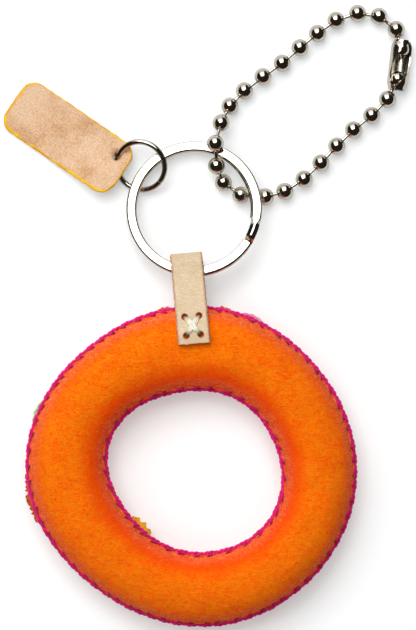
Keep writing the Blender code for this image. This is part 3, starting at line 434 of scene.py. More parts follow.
# FF3C00 is painted shade for the ring's flanks, #FF9C64 a painted sheen along its cut edges
orange_felt = needled_wool_felt("orange_wool_felt", "#FF4200", "#FF7000", "#FF9010", "#FF3C00", "#FF9C64")
loose_wool = needled_wool_felt("loose_orange_wool", "#FF7A10", "#FF9034", "#FFB068")
mustard_felt = needled_wool_felt("mustard_wool_felt", "#D68A00", "#EFAA12", "#FFC640")
green_felt = needled_wool_felt("pale_green_wool_felt", "#8FCB74", "#A8DE8C", "#CFF3B8")
pink_felt = needled_wool_felt("pink_wool_felt", "#E2809A", "#F09CB0", "#FFC4D0")
magenta_yarn = spun_cotton_yarn("magenta_cotton_yarn", "#BC0058", "#E60078", "#FA2492")
linen_thread = waxed_linen_thread()
strap_leather = vegetable_tanned_strap()
tag_leather = flesh_side_leather()
nickel = polished_nickel_plate()
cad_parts["filling"].data.materials.clear()
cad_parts["filling"].data.materials.append(loose_stuffing())


# Felt ring
def rim(theta, outer, inset):
    """A sewn rim: centre + (R (1 + sum of share cos n(theta - direction)) - inset) (cos theta, sin theta)."""
    if outer:
        radius, lobes, centre = FELT_RADIUS, OUTER_LOBES, FELT_CENTRE
    else:
        radius, lobes, centre = HOLE_RADIUS, INNER_LOBES, HOLE_CENTRE
    wobble = sum(share * np.cos(count * (theta - math.radians(turn))) for count, share, turn in lobes)
    reach = radius * (1.0 + wobble) - (inset if outer else -inset)
    return centre + reach[..., None] * np.stack([np.cos(theta), np.sin(theta)], axis=-1)


STRAP_THETA = math.atan2(*(STRAP_FOLD + STRAP_DIRECTION * STRAP_LENGTH - FELT_CENTRE)[::-1])


def dent_share(theta):
    """1 where the strap lies under the belly, 0 past its edges."""
    away = np.abs((theta - STRAP_THETA + math.pi) % TAU - math.pi) * (FELT_RADIUS + HOLE_RADIUS) / 2.0
    return 1.0 - smooth_step((away - STRAP_WIDTH / 2.0 - DENT_MARGIN) / DENT_FADE)


def felt_height(theta, across, side):
    """Height over the middle plane: base + (crest - base) (1 - |across|^2.3)^0.62, pressed flat at its reach."""
    crest = MID_HEIGHT + FLATTENING
    if side < 0:
        crest = crest - (BELLY_DENT + FLATTENING) * dent_share(theta)
    profile = np.clip(1.0 - np.abs(across) ** DOME_POWER, 0.0, 1.0) ** DOME_ROUNDING
    return np.minimum(SEAM_HEIGHT + (crest - SEAM_HEIGHT) * profile, MID_HEIGHT)


def felt_face(theta, across, side):
    """Outer face of a felt panel, across running from -1 at the inner rim to 1 at the outer one."""
    outer, inner = rim(theta, True, RIM_INSET), rim(theta, False, RIM_INSET)
    half = (outer - inner) / 2.0
    dome = 1.0 - SEAM_PINCH / np.linalg.norm(half, axis=-1)
    plan = (outer + inner) / 2.0 + half * across[..., None]
    height = felt_height(theta, across / dome, side)
    return np.concatenate([plan, (MID_HEIGHT + side * height)[..., None]], axis=-1)


def stitch_pull(theta, across):
    """How much the blanket stitches pull the felt in: 1 at each stitch's hole and 0 midway, near the rims only."""
    total = 0.0
    for count, edge in ((OUTER_STITCHES, 1.0), (INNER_STITCHES, -1.0)):
        comb = (0.5 + 0.5 * np.cos(count * (theta - stitch_phase(theta, count)))) ** 3
        total = total + comb * np.exp(-((across - edge * STITCH_PLACE) / 0.06) ** 2)
    return total


def stitch_phase(theta, count):
    """Hand-sewn stitches stand a little unevenly: the comb is shifted by a slow wave along the rim."""
    return (0.9 * np.sin(3.0 * theta + count) + 0.7 * np.sin(7.0 * theta + 2.0 * count)) / count


def swell(points, pinned, reach):
    """Cloth under pressure with its seams pinned, run at fifty times the size; no point moves more than the reach."""
    scale, frames = 50.0, 20
    cloth = add_object("felt_cloth", make_mesh("felt_cloth", [skin(points * scale, True, True)]))
    seams = cloth.vertex_groups.new(name="seams")
    seams.add(np.flatnonzero(pinned.reshape(-1)).tolist(), 1.0, "REPLACE")
    stuffing = cloth.modifiers.new("stuffing", "CLOTH")
    settings = stuffing.settings
    settings.quality = 6
    settings.mass = 0.6
    settings.tension_stiffness = settings.compression_stiffness = 25.0
    settings.shear_stiffness = 12.0
    settings.bending_stiffness = 8.0
    settings.vertex_group_mass = "seams"
    settings.use_pressure = True
    settings.uniform_pressure_force = 4.0
    settings.effector_weights.gravity = 0.0
    stuffing.collision_settings.use_collision = False
    stuffing.collision_settings.use_self_collision = False
    stuffing.point_cache.frame_start, stuffing.point_cache.frame_end = 1, frames
    for step in range(1, frames + 1):
        bpy.context.scene.frame_set(step)
    swollen = cloth.evaluated_get(bpy.context.evaluated_depsgraph_get()).to_mesh()
    moved = mesh_points(swollen).reshape(points.shape) / scale - points
    bpy.data.objects.remove(cloth)
    bpy.context.scene.frame_set(1)
    length = np.linalg.norm(moved, axis=-1, keepdims=True)
    return moved * np.minimum(1.0, reach[..., None] / np.maximum(length, 1e-9))


def resample(grid, rows, columns):
    """Values of a grid with closed rows at fractional rows and columns, straight between its points."""
    low_row, low_column = np.floor(rows).astype(int), np.minimum(np.floor(columns).astype(int), grid.shape[1] - 2)
    row_share, column_share = (rows - low_row)[..., None], (columns - low_column)[..., None]
    low_row, high_row = low_row % grid.shape[0], (low_row + 1) % grid.shape[0]
    near = grid[low_row, low_column] * (1 - column_share) + grid[low_row, low_column + 1] * column_share
    far = grid[high_row, low_column] * (1 - column_share) + grid[high_row, low_column + 1] * column_share
    return near * (1 - row_share) + far * row_share


CLOTH_ROWS, CLOTH_COLUMNS = 144, 22


def felt_swelling():
    """How far the stuffing moves the two panels, as one grid per side."""
    theta = np.arange(CLOTH_ROWS) * TAU / CLOTH_ROWS
    across = np.sin(np.linspace(-math.pi / 2, math.pi / 2, CLOTH_COLUMNS))
    theta, across = np.meshgrid(theta, across, indexing="ij")
    upper = felt_face(theta, across, 1)
    lower = felt_face(theta, across, -1)[:, ::-1]
    points = np.concatenate([upper, lower], axis=1)
    pinned = np.abs(np.concatenate([across, across[:, ::-1]], axis=1)) > STITCH_PLACE
    free = np.minimum(1.0, (1.0 - np.abs(across)) / 0.2) * (1.0 - dent_share(theta))
    reach = np.concatenate([free, free[:, ::-1]], axis=1) * SWELL_REACH
    moved = swell(points, pinned, reach)
    return {1: moved[:, :CLOTH_COLUMNS], -1: moved[:, CLOTH_COLUMNS:][:, ::-1]}


swelling = felt_swelling()


def dressed_face(theta, across, side):
    """The panel's face with its swelling, stitch pulls and unevenness, kept over the table and off the strap."""
    points = felt_face(theta, across, side)
    rows = (theta % TAU) / TAU * CLOTH_ROWS
    columns = (np.arcsin(np.clip(across, -1.0, 1.0)) / math.pi + 0.5) * (CLOTH_COLUMNS - 1)
    points = points + resample(swelling[side], rows, columns)
    free = 1.0 - dent_share(theta)
    inside = np.clip((1.0 - np.abs(across)) / 0.12, 0.0, 1.0)
    rise = 0.16 * MM * lumps(points, 9.0 * MM, 3) + 0.07 * MM * lumps(points, 3.2 * MM, 4)
    rise = rise * inside * free - 0.42 * MM * stitch_pull(theta, across)
    points[..., 2] += side * rise
    points[..., 2] = np.maximum(points[..., 2], 0.03 * MM)
    return points


def build_felt_panel(side):
    """One panel as a closed skin: its outer face, the cut edges and the inner face, thickness below the outer one.

    The painted shade, pulled, goes from 0 on the crest to its highest at the rims, more at the inner one; the
    painted sheen, raised, starts close to them.
    """
    rows = 8 * OUTER_STITCHES
    theta = np.arange(rows) * TAU / rows
    face = np.sin(np.linspace(-math.pi / 2, math.pi / 2, 62))
    theta, across = np.meshgrid(theta, face, indexing="ij")
    outer = dressed_face(theta, across, side)
    fuzz = 0.10 * MM * lumps(outer[:, [0, -1]], 1.1 * MM, 8)
    radial = unit(outer[:, -1, :2] - outer[:, 0, :2])
    edge = [outer[:, -1].copy(), outer[:, 0].copy()]
    for number, way in ((0, 1.0), (1, -1.0)):
        edge[number][:, :2] += way * radial * (CUT_EDGE_BULGE + fuzz[:, 1 - number, None])
        edge[number][:, 2] = MID_HEIGHT + side * CUT_EDGE_HEIGHT
    if side < 0:
        for turn, spread, reach in PROUD_EDGES:
            away = (theta[:, 0] - math.radians(turn) + math.pi) % TAU - math.pi
            proud = reach * np.exp(-(away / math.radians(spread)) ** 2) * (1.0 + 3.0 * fuzz[:, 1] / MM)
            edge[0][:, :2] += radial * proud[:, None]
    inner = dressed_face(theta[:, ::-4], across[:, ::-4], side)
    below = np.maximum(np.abs(inner[..., 2] - MID_HEIGHT) - FELT_THICKNESS, SEAM_GAP)
    inner[..., 2] = MID_HEIGHT + side * below
    points = np.concatenate([outer, edge[0][:, None], inner, edge[1][:, None]], axis=1)
    if side < 0:
        points = points[:, ::-1]
    name = "upper" if side > 0 else "lower"
    mesh = make_mesh(f"felt_cover_{name}", [skin(points, True, True)])
    here = mesh_points(mesh)[:, :2] - FELT_CENTRE
    bearing = np.arctan2(here[:, 1], here[:, 0])
    near, far = (np.linalg.norm(rim(bearing, is_outer, RIM_INSET) - FELT_CENTRE, axis=-1)
                 for is_outer in (False, True))
    place = 2.0 * (np.linalg.norm(here, axis=-1) - near) / (far - near) - 1.0
    # Painted shade on the flanks, deepest at the inner rim
    pulled = 0.72 * smooth_step((-place - 0.2) / 0.6) + 0.45 * smooth_step((place - 0.45) / 0.5)
    set_attribute(mesh, "pulled", pulled)
    # Painted sheen along the cut edges
    set_attribute(mesh, "raised", 0.75 * smooth_step((np.abs(place) - 0.68) / 0.26))
    panel = make_piece(f"felt_cover_{name}", mesh, orange_felt, "felt_ring", [f"felt_panel_{name}"])


for face_side in (1, -1):
    build_felt_panel(face_side)


def stitch_angles(outer):
    """Where each blanket stitch stands: the crests of the pulling comb, found by three rounds of substitution."""
    count = OUTER_STITCHES if outer else INNER_STITCHES
    even = np.arange(count) * TAU / count
    theta = even
    for _ in range(3):
        theta = even + stitch_phase(theta, count)
    return theta


def edge_run(outer):
    """The yarn along a rim: two plies wound round a line that bows outwards between the stitches."""
    count = OUTER_STITCHES if outer else INNER_STITCHES
    steps = count * (18 if outer else 20)
    theta = np.arange(steps) * TAU / steps
    beat = count * (theta - stitch_phase(theta, count)) / TAU % 1.0
    bow = np.sin(math.pi * beat) ** 0.8 * (1.0 - 0.35 * beat)
    uneven = lumps(np.column_stack([np.cos(theta), np.sin(theta), 0.0 * theta]), 0.35, 15)
    plan = rim(theta, outer, 0.66 * MM - 0.26 * MM * bow + 0.08 * MM * uneven)
    height = MID_HEIGHT + 0.26 * MM * np.sin(TAU * beat) + 0.25 * MM * np.roll(uneven, 40)
    middle = np.column_stack([plan, height])
    away = unit(np.column_stack([np.cos(theta), np.sin(theta), 0.0 * theta]))
    length = np.linalg.norm(np.roll(middle, -1, axis=0) - middle, axis=-1)
    turns = round(length.sum() / PLY_TWIST)
    phase = np.cumsum(length) / length.sum() * turns * TAU
    plies = []
    for start in (0.0, math.pi):
        offset = PLY_OFFSET * (np.cos(phase + start)[:, None] * away
                               + np.sin(phase + start)[:, None] * np.array([0.0, 0.0, 1.0]))
        plies.append(tube(middle + offset, PLY_RADIUS, 8, away, closed=True))
    return plies


def stitch_legs(outer):
    """The legs over both panels: from the run, up the cut edge, slanted along the crease and into the felt."""
    theta = stitch_angles(outer)
    random = np.random.default_rng(21 if outer else 22)
    radius = FELT_RADIUS if outer else HOLE_RADIUS
    inset = np.array([0.55, 0.62, 0.74, 0.88, 1.0, 1.12]) * MM
    height = np.array([0.1, 0.8, 1.4, 1.9, 2.25, 2.1]) * MM
    lean = np.array([0.0, -0.3, -0.9, -1.6, -2.2, -2.6]) * MM
    legs = []
    for side in (1.0, -1.0):
        for angle, wide in zip(theta, random.uniform(0.55, 1.2, len(theta))):
            turn = angle + lean / radius * wide
            plan = np.stack([rim(turn[step], outer, inset[step]) for step in range(len(inset))])
            path = np.column_stack([plan, MID_HEIGHT + side * height])
            tangent = np.array([-math.sin(angle), math.cos(angle), 0.0])
            legs.append(tube(path, LEG_RADIUS, 6, tangent))
    return legs


def build_blanket_stitch(outer):
    """The whole stitch of one rim; painted crease shade is 0 on the run, going to 1 along each leg into the crease.
    """
    name = "outer" if outer else "inner"
    run = edge_run(outer)
    legs = stitch_legs(outer)
    mesh = make_mesh(f"{name}_blanket_stitch", run + legs)
    run_points = sum(len(points) for points, _ in run)
    # Painted shade along each leg, down into the crease
    along_leg = np.repeat([0.0, 0.0, 0.3, 0.8, 1.0, 1.0], 6)
    set_attribute(mesh, "crease_shade", np.concatenate([np.zeros(run_points), np.tile(along_leg, len(legs))]))
    make_piece(f"{name}_blanket_stitch", mesh, magenta_yarn, "felt_ring", [f"{name}_seam_thread"])


for is_outer_rim in (True, False):
    build_blanket_stitch(is_outer_rim)


def felt_fibres(count, seed):
    """Loose fibres that stand off the felt: short bent needles, their roots on the outer faces.

    They are drawn about four times as thick as wool, so that they show.
    """
    random = np.random.default_rng(seed)
    theta = random.uniform(0.0, TAU, count)
    across = np.sin(random.uniform(-1.0, 1.0, count) * math.pi / 2) * 0.97
    side = np.where(random.uniform(size=count) < 0.7, 1, -1)
    root, ahead = (np.where((side > 0)[:, None], dressed_face(theta, place, 1), dressed_face(theta, place, -1))
                   for place in (across, across * 0.995 + 0.003))
    along = unit(np.column_stack([-np.sin(theta), np.cos(theta), 0.0 * theta]))
    normal = unit(np.cross(ahead - root, along)) * side[:, None]
    normal *= np.sign(normal[:, 2:3] * side[:, None] + 1e-9)
    lean = unit(random.normal(size=(count, 3)))
    length = random.uniform(0.5, 1.3, count)[:, None] * MM
    share = np.linspace(0.0, 1.0, 4)[:, None, None]
    keep = (1.0 - dent_share(theta) > 0.99) & (root[:, 2] > 1.2 * MM)
    spine = root + share * length * (0.35 * normal + lean * 0.5)
    spine += share ** 2 * length * 0.35 * np.roll(lean, 1, axis=1)
    spine[..., 2] = np.maximum(spine[..., 2], 0.1 * MM)
    radius = np.array([0.055, 0.05, 0.035, 0.012]) * MM
    return [tube(spine[:, number], radius, 3, (0.3, 0.5, 0.8)) for number in np.flatnonzero(keep)]


make_piece("felt_fibres", felt_fibres(2600, 31), loose_wool, "felt_ring")


def build_patch(name, turn, arc, rim_side, overhang, material, wave):
    """A felt patch under the ring: the lower face offset by its gap, past the rim by the overhang, 1 mm thick."""
    half_arc = math.radians(arc) / 2.0
    steps = np.linspace(-1.0, 1.0, 41)
    stations = np.linspace(0.55, 1.0, 14)
    theta, across = np.meshgrid(math.radians(turn) + steps * half_arc, rim_side * stations, indexing="ij")
    top = felt_face(theta, across, -1)
    top[..., 2] -= PATCH_GAP
    away = np.stack([np.cos(theta[:, -1]), np.sin(theta[:, -1])], axis=-1) * rim_side
    reach = overhang * (1.0 - 0.35 * steps ** 2) + wave * np.sin(steps * 9.0 + 0.6) * (1.0 - steps ** 4)
    share = np.linspace(0.0, 1.0, 6)[1:]
    ahead = np.repeat(top[:, -1:], len(share), axis=1)
    ahead[..., :2] += away[:, None] * reach[:, None, None] * share[:, None]
    top = np.concatenate([top, ahead], axis=1)
    under = top.copy()
    under[..., 2] -= PATCH_THICKNESS
    under[..., 2] = np.maximum(under[..., 2], 0.02 * MM)
    shrink = 0.12 * MM * lumps(top, 1.3 * MM, 12)
    top[..., 2] += np.minimum(shrink, 0.0)
    points = np.concatenate([top, under[:, ::-1]], axis=1)
    if rim_side < 0:
        points = points[:, ::-1]
    make_piece(name, [skin(points, False, True, capped=True)], material, "felt_ring", [name], sharp=60.0)


build_patch("patch_mustard", 226.0, 19.0, -1, 2.0 * MM, mustard_felt, 0.35 * MM)
build_patch("patch_green", 160.5, 8.5, 1, 1.5 * MM, green_felt, 0.1 * MM)
build_patch("patch_pink", 67.0, 8.0, 1, 1.6 * MM, pink_felt, 0.1 * MM)


# Strap: its middle line from the sewn end on top, round the fold and back below, as distance from it and height
STRAP_RUN = np.array([
    (21.6, 15.95), (20.85, 15.95), (20.1, 15.95), (19.02, 15.68), (16.75, 14.67), (14.49, 13.43), (12.22, 12.08),
    (9.95, 10.77), (7.68, 9.64), (5.42, 8.81), (3.15, 8.43), (2.19, 8.24), (1.38, 7.7), (0.84, 6.89), (0.65, 5.93),
    (0.84, 4.97), (1.38, 4.16), (2.19, 3.62), (3.15, 3.43), (5.18, 3.25), (7.21, 2.95), (9.24, 2.58), (11.27, 2.21),
    (13.3, 1.9), (15.33, 1.7), (17.4, 1.7), (19.5, 1.7), (21.6, 1.7)]) * MM


def on_strap(along, across):
    """World X and Y of a point of the strap, from its fold and its middle line."""
    return STRAP_FOLD + np.multiply.outer(along, STRAP_DIRECTION) + np.multiply.outer(across, STRAP_ACROSS)


def build_strap():
    """A rounded rectangle carried along the strap's run, with frayed edges and four holes drilled through."""
    run = smooth_path(STRAP_RUN, 190)
    slope = unit(np.gradient(run, axis=0))
    normal = np.column_stack([-slope[:, 1], slope[:, 0]])
    wide, thick, round_edge = STRAP_WIDTH / 2.0, STRAP_THICKNESS / 2.0, 0.32 * MM
    face = np.linspace(-1.0, 1.0, 26) * (wide - round_edge)
    arc = np.linspace(0.0, math.pi, 9)[1:-1]
    section = np.concatenate([
        np.column_stack([face, np.full(26, thick)]),
        np.column_stack([wide - round_edge + round_edge * np.sin(arc), thick * np.cos(arc)]),
        np.column_stack([face[::-1], np.full(26, -thick)]),
        np.column_stack([-wide + round_edge - round_edge * np.sin(arc), -thick * np.cos(arc)])])
    points = np.zeros((len(run), len(section), 3))
    plan = on_strap(run[:, 0], 0.0 * run[:, 0])
    points[..., :2] = (plan[:, None] + section[:, :1] * STRAP_ACROSS
                       + section[None, :, 1:] * normal[:, None, :1] * STRAP_DIRECTION)
    points[..., 2] = run[:, 1, None] + section[None, :, 1] * normal[:, None, 1]
    cut = np.clip((np.abs(section[:, 0]) - wide + round_edge) / round_edge, 0.0, 1.0)
    frayed = cut[None, :, None] * np.sign(section[None, :, :1]) * np.append(STRAP_ACROSS, 0.0)
    points += frayed * (0.13 * MM * lumps(points, 0.9 * MM, 41))[..., None]
    points[..., 2] += 0.05 * MM * lumps(points, 4.0 * MM, 42)
    ends = np.zeros((len(run), 1, 1))
    ends[[0, -1]] = 1.0
    points[..., :2] += ends * STRAP_DIRECTION * (0.12 * MM * lumps(points, 1.2 * MM, 43))[..., None]
    mesh = make_mesh("strap_leather", [skin(points, False, True, capped=True)])
    solid = add_object("strap_blank", mesh)
    drills = []
    for along, across in STRAP_HOLES:
        spot = on_strap(along, across)
        path = np.array([[*spot, -5.0 * MM], [*spot, 30.0 * MM]])
        drills.append(tube(path, STRAP_HOLE_RADIUS, 28, (1.0, 0.0, 0.0)))
    drill = add_object("strap_drill", make_mesh("strap_drill", drills))
    holes = solid.modifiers.new("holes", "BOOLEAN")
    holes.operation, holes.object, holes.solver = "DIFFERENCE", drill, "EXACT"
    drilled = bpy.data.meshes.new_from_object(solid.evaluated_get(bpy.context.evaluated_depsgraph_get()))
    bpy.data.objects.remove(solid)
    bpy.data.objects.remove(drill)
    here = mesh_points(drilled)
    from_fold = here[:, :2] - STRAP_FOLD
    along, across = from_fold @ STRAP_DIRECTION, from_fold @ STRAP_ACROSS
    edge = smooth_step((np.abs(across) - wide + 0.5 * MM) / (0.2 * MM))
    edge = np.maximum(edge, smooth_step((along - STRAP_LENGTH + 0.18 * MM) / (0.12 * MM)))
    for hole_along, hole_across in STRAP_HOLES:
        near = np.hypot(along - hole_along, across - hole_across)
        edge = np.maximum(edge, 1.0 - smooth_step((near - 0.8 * MM) / (0.16 * MM)))
    set_attribute(drilled, "edge", edge)
    make_piece("strap_leather", drilled, strap_leather, "felt_ring", ["strap"], sharp=50.0)


build_strap()


def strap_face(along, side):
    """Height of the strap's outer face over or under its middle line."""
    run = STRAP_RUN[:11][::-1] if side > 0 else STRAP_RUN[18:]
    return np.interp(along, run[:, 0], run[:, 1]) + side * (STRAP_THICKNESS / 2.0 + 0.06 * MM)


def cross_stitch(side, seed):
    """Two bundles of plies crossed over the strap, their ends down in the holes; browning is 1 at the ends."""
    random = np.random.default_rng(seed)
    shapes, browned_ends = [], []
    share = np.linspace(0.0, 1.0, 30)
    inside = np.sin(math.pi * share)
    run = STRAP_HOLE_ROWS[1] - STRAP_HOLE_ROWS[0]
    dive = 1.15 * MM * (1.0 - smooth_step(np.minimum(share, 1.0 - share) / 0.13))
    far_end = 1.0 - smooth_step((1.0 - share) / 0.38)
    near_end = 0.7 * (1.0 - smooth_step(share / 0.3))
    for number, way in enumerate((-1.0, 1.0)):
        for ply in range(6):
            spread = (ply - 2.5) * 0.19 * MM * (0.35 + 0.65 * inside ** 0.7)
            spread = spread + 0.06 * MM * np.sin(share * TAU * random.uniform(0.5, 1.2) + random.uniform(0.0, TAU))
            layer = (0.15 + 0.12 * (ply % 2)) * MM
            along = STRAP_HOLE_ROWS[0] + run * share
            across = way * STRAP_HOLE_SPREAD * (2.0 * share - 1.0)
            slant = unit(np.array([run, way * 2.0 * STRAP_HOLE_SPREAD]))
            along = along - spread * slant[1]
            across = across + spread * slant[0]
            arch = (0.16 + 0.34 * number) * MM * inside
            height = strap_face(along, side) + side * (layer + arch - dive)
            path = np.column_stack([on_strap(along, 0.0 * along) + across[:, None] * STRAP_ACROSS, height])
            shapes.append(tube(path, THREAD_RADIUS, 8, (0.0, 0.0, 1.0)))
            browned_ends.append(np.repeat(np.where(share > 0.5, far_end, near_end), 8))
    name = "strap_thread_over" if side > 0 else "strap_thread_under"
    mesh = make_mesh(name, shapes)
    set_attribute(mesh, "browned_ends", np.concatenate(browned_ends))
    node = "strap_stitch_upper" if side > 0 else "strap_stitch_lower"
    make_piece(name, mesh, linen_thread, "felt_ring", [node])


cross_stitch(1, 51)
cross_stitch(-1, 52)


# Metal
def ring_axes(normal):
    """Two directions in a tilted plane, the first one over world X."""
    first = unit(np.array([1.0, 0.0, -normal[0] / normal[2]]))
    return first, np.cross(normal, first)


def round_corners(corners, radius, steps=5):
    """A closed outline through rounded corners, each an arc that reaches radius (or x, y) along its sides."""
    corners = np.array(corners)
    before, after = unit(np.roll(corners, 1, axis=0) - corners), unit(np.roll(corners, -1, axis=0) - corners)
    share = np.linspace(0.0, 1.0, steps)[None, :, None]
    start, end = corners[:, None] + before[:, None] * radius, corners[:, None] + after[:, None] * radius
    return ((1 - share) ** 2 * start + 2 * share * (1 - share) * corners[:, None] + share ** 2 * end).reshape(-1, 2)


def build_split_ring():
    """Two turns of flat wire: a rounded section carried round the ring, nipped to a ridge where it cranks down."""
    turns = np.append(UPPER_END - np.arange(0.0, UPPER_END - LOWER_END, 1.25), LOWER_END)
    drop = smooth_step((UPPER_END - 360.0 + CRANK - turns) / CRANK)
    nipped = (smooth_step((NIP_START - turns) / 6.5) * smooth_step((turns - NIP_END) / 8.0))[:, None, None]
    layer = TURN_HEIGHT * (1.0 - 2.0 * drop)
    turn = np.radians(turns)
    first, second = ring_axes(SPLIT_RING_NORMAL)
    radial = np.multiply.outer(np.cos(turn), first) + np.multiply.outer(np.sin(turn), second)
    corners = ((-1.2, -0.475), (1.2, -0.475), (1.2, 0.475), (-1.2, 0.475))
    flat = round_corners(corners, np.array([0.5, 0.42])) * MM
    corners = ((-1.15, -0.14), (1.15, -0.14), (0.22, 0.475), (-0.22, 0.475))
    ridge = round_corners(corners, 0.1) * MM
    section = flat + (ridge - flat) * nipped
    spring = SPRING * smooth_step((SPRING_START - turns) / 55.0)
    points = (SPLIT_RING_MIDDLE + (BAND_RADIUS - spring[:, None, None] + section[..., :1]) * radial[:, None]
              + (layer[:, None, None] + section[..., 1:]) * SPLIT_RING_NORMAL)
    make_piece("split_ring_band", [skin(points[::-1], False, True, capped=True)], nickel, "split_ring",
               ["split_ring"], sharp=50.0)


def build_jump_ring():
    """Round wire bent to a ring whose cut ends almost meet."""
    turn = np.radians(np.linspace(*JUMP_RING_ENDS, 170))
    first, second = ring_axes(JUMP_RING_NORMAL)
    path = JUMP_RING_MIDDLE + JUMP_RING_RADIUS * (np.multiply.outer(np.cos(turn), first)
                                                  + np.multiply.outer(np.sin(turn), second))
    radius = JUMP_RING_WIRE * np.ones(len(turn))
    radius[[0, -1]] *= 0.9
    make_piece("jump_ring_wire", [tube(path, radius, 22, JUMP_RING_NORMAL)], nickel, "jump_ring",
               ["jump_ring"], sharp=50.0)


build_split_ring()
build_jump_ring()


def band_height(point):
    """Height of the split ring's middle plane over a point of the table."""
    offset = np.asarray(point) - SPLIT_RING_MIDDLE[:2]
    return SPLIT_RING_MIDDLE[2] - offset @ SPLIT_RING_NORMAL[:2] / SPLIT_RING_NORMAL[2]


def chain_centres():
    """Ball centres: on the table, over the split ring, or in the connector."""
    route = np.array(CHAIN_ROUTE)
    plan = SPLIT_RING_MIDDLE[:2] + route[:, :2] * MM
    over = band_height(plan[12]) + BAND_HALF_HEIGHT + BALL_RADIUS + BALL_OVER_RING
    height = BALL_RADIUS + route[:, 2] * (over - BALL_RADIUS)
    height[[0, -1]] = CONNECTOR_RADIUS
    return np.column_stack([plan, height])


def seated(centres):
    """Ball centres with the two end balls pulled towards the connector's necks, as a hanging chain has them."""
    axis = unit(centres[0] - centres[-1])
    pulled = centres.copy()
    pulled[0] += 0.9 * MM * axis
    pulled[-1] -= 0.5 * MM * axis
    return pulled


def turned(profile, centre, axis, sides):
    """A profile of (radius, height) from bottom to top, turned about an axis through the centre."""
    axis = unit(np.asarray(axis, dtype=float))
    first = unit(np.cross(axis, (0.3, 0.4, 0.85)))
    second = np.cross(axis, first)
    turn = np.arange(sides) * TAU / sides
    ring = np.cos(turn)[:, None] * first + np.sin(turn)[:, None] * second
    profile = np.array(profile)
    return skin(centre + profile[:, :1, None] * ring + profile[:, 1:, None] * axis, False, True, capped=True)


def ball(centre, axis):
    """A hollow ball rolled from sheet: a sphere whose poles turn in round the links' mouths."""
    mouth = math.asin(BALL_MOUTH / BALL_RADIUS)
    turn = np.linspace(math.pi - mouth, mouth, 22)
    body = BALL_RADIUS * np.column_stack([np.sin(turn), np.cos(turn)])
    lip = np.array([(0.05, -1.5), (0.5, -1.55), (0.55, -1.86)]) * MM
    profile = np.concatenate([lip, body, lip[::-1] * (1.0, -1.0)])
    return turned(profile, centre, axis, 28)


def link(centre, step):
    """A wire from one ball's mouth to the next one's, thicker at its ends, as a profile turned about its axis."""
    length = np.linalg.norm(step) / MM
    near_end = [(0.02, 1.35), (0.46, 1.36), (0.46, 1.7), (0.42, 1.95)]
    far_end = [(radius, length - height) for radius, height in near_end[::-1]]
    return turned(np.array([*near_end, (0.41, length / 2.0), *far_end]) * MM, centre, step, 16)


def build_chain():
    """Each ball with the link that runs on into the next one."""
    centres = seated(chain_centres())
    last = len(centres) - 1
    for number, centre in enumerate(centres):
        before, after = centres[max(number - 1, 0)], centres[min(number + 1, last)]
        shapes = [ball(centre, after - before)]
        if number < last:
            shapes.append(link(centre, after - centre))
        make_piece(f"chain_ball_{number + 1:02d}", shapes, nickel, "ball_chain",
                   [f"chain_bead_{number + 1:02d}"], sharp=55.0)


def build_connector():
    """A tube rolled from sheet, narrowed at its ends, with a slot that is widest in the middle."""
    centres = chain_centres()
    axis = unit(centres[0] - centres[-1])
    middle = (centres[0] + centres[-1]) / 2.0
    side = unit(np.cross(axis, (0.0, 0.0, 1.0)))
    up = np.cross(side, axis)
    station = np.linspace(-1.0, 1.0, 81)
    taper = smooth_step((np.abs(station) - 0.7) / 0.3)
    radius = CONNECTOR_RADIUS * (1.0 - 0.2 * taper)
    opening = 14.0 + 44.0 * smooth_step(1.35 - 1.35 * np.abs(station))
    columns = 64
    share = np.linspace(0.0, 1.0, columns)
    facing = 14.0 + 44.0 * station
    turn = np.radians(facing[:, None] + opening[:, None] + (360.0 - 2.0 * opening[:, None]) * share)
    direction = np.sin(turn)[..., None] * side + np.cos(turn)[..., None] * up
    line = middle + np.multiply.outer(station * CONNECTOR_LENGTH / 2.0, axis)[:, None]
    outside = line + radius[:, None, None] * direction
    inside = line + (radius[:, None, None] - CONNECTOR_WALL) * direction
    lip_out, lip_in = (radius[:, None, None] - step * MM for step in (0.06, 0.24))
    low_edge = [line + reach * direction[:, :1] for reach in (lip_out, lip_in)]
    high_edge = [line + reach * direction[:, -1:] for reach in (lip_out, lip_in)]
    points = np.concatenate([outside, *high_edge, inside[:, ::-1], *low_edge[::-1]], axis=1)
    mesh = make_mesh("chain_connector_tube", [skin(points[::-1], False, True, capped=True)])
    inner_wall = np.zeros(points.shape[:2])
    inner_wall[:, columns + 1:2 * columns + 3] = 1.0
    set_attribute(mesh, "unpolished", inner_wall.reshape(-1))
    make_piece("chain_connector_tube", mesh, nickel, "ball_chain", ["chain_connector"], sharp=50.0)


build_chain()
build_connector()


# Tag
def tag_height(plan):
    """The tag's middle surface: flat at its free end, raised to the jump ring and bent by tanh at the hole."""
    free_end = TAG_CENTRE @ TAG_ALONG - TAG_SIZE[0] / 2.0 + TAG_CORNER
    share = np.clip((plan @ TAG_ALONG - free_end) / (TAG_HOLE @ TAG_ALONG - free_end), 0.0, 1.2)
    rising = np.array([math.cos(TAG_BEND_TURN), math.sin(TAG_BEND_TURN)])
    level = np.array([-rising[1], rising[0]])
    bend = np.tanh((plan - TAG_HOLE) @ rising / TAG_BEND_LENGTH)
    fade = np.exp(-((plan - TAG_HOLE) @ level / TAG_BEND_WIDTH) ** 2)
    return TAG_THICKNESS / 2.0 + TAG_LIFT * share ** 2 + TAG_BEND_HEIGHT * bend * fade


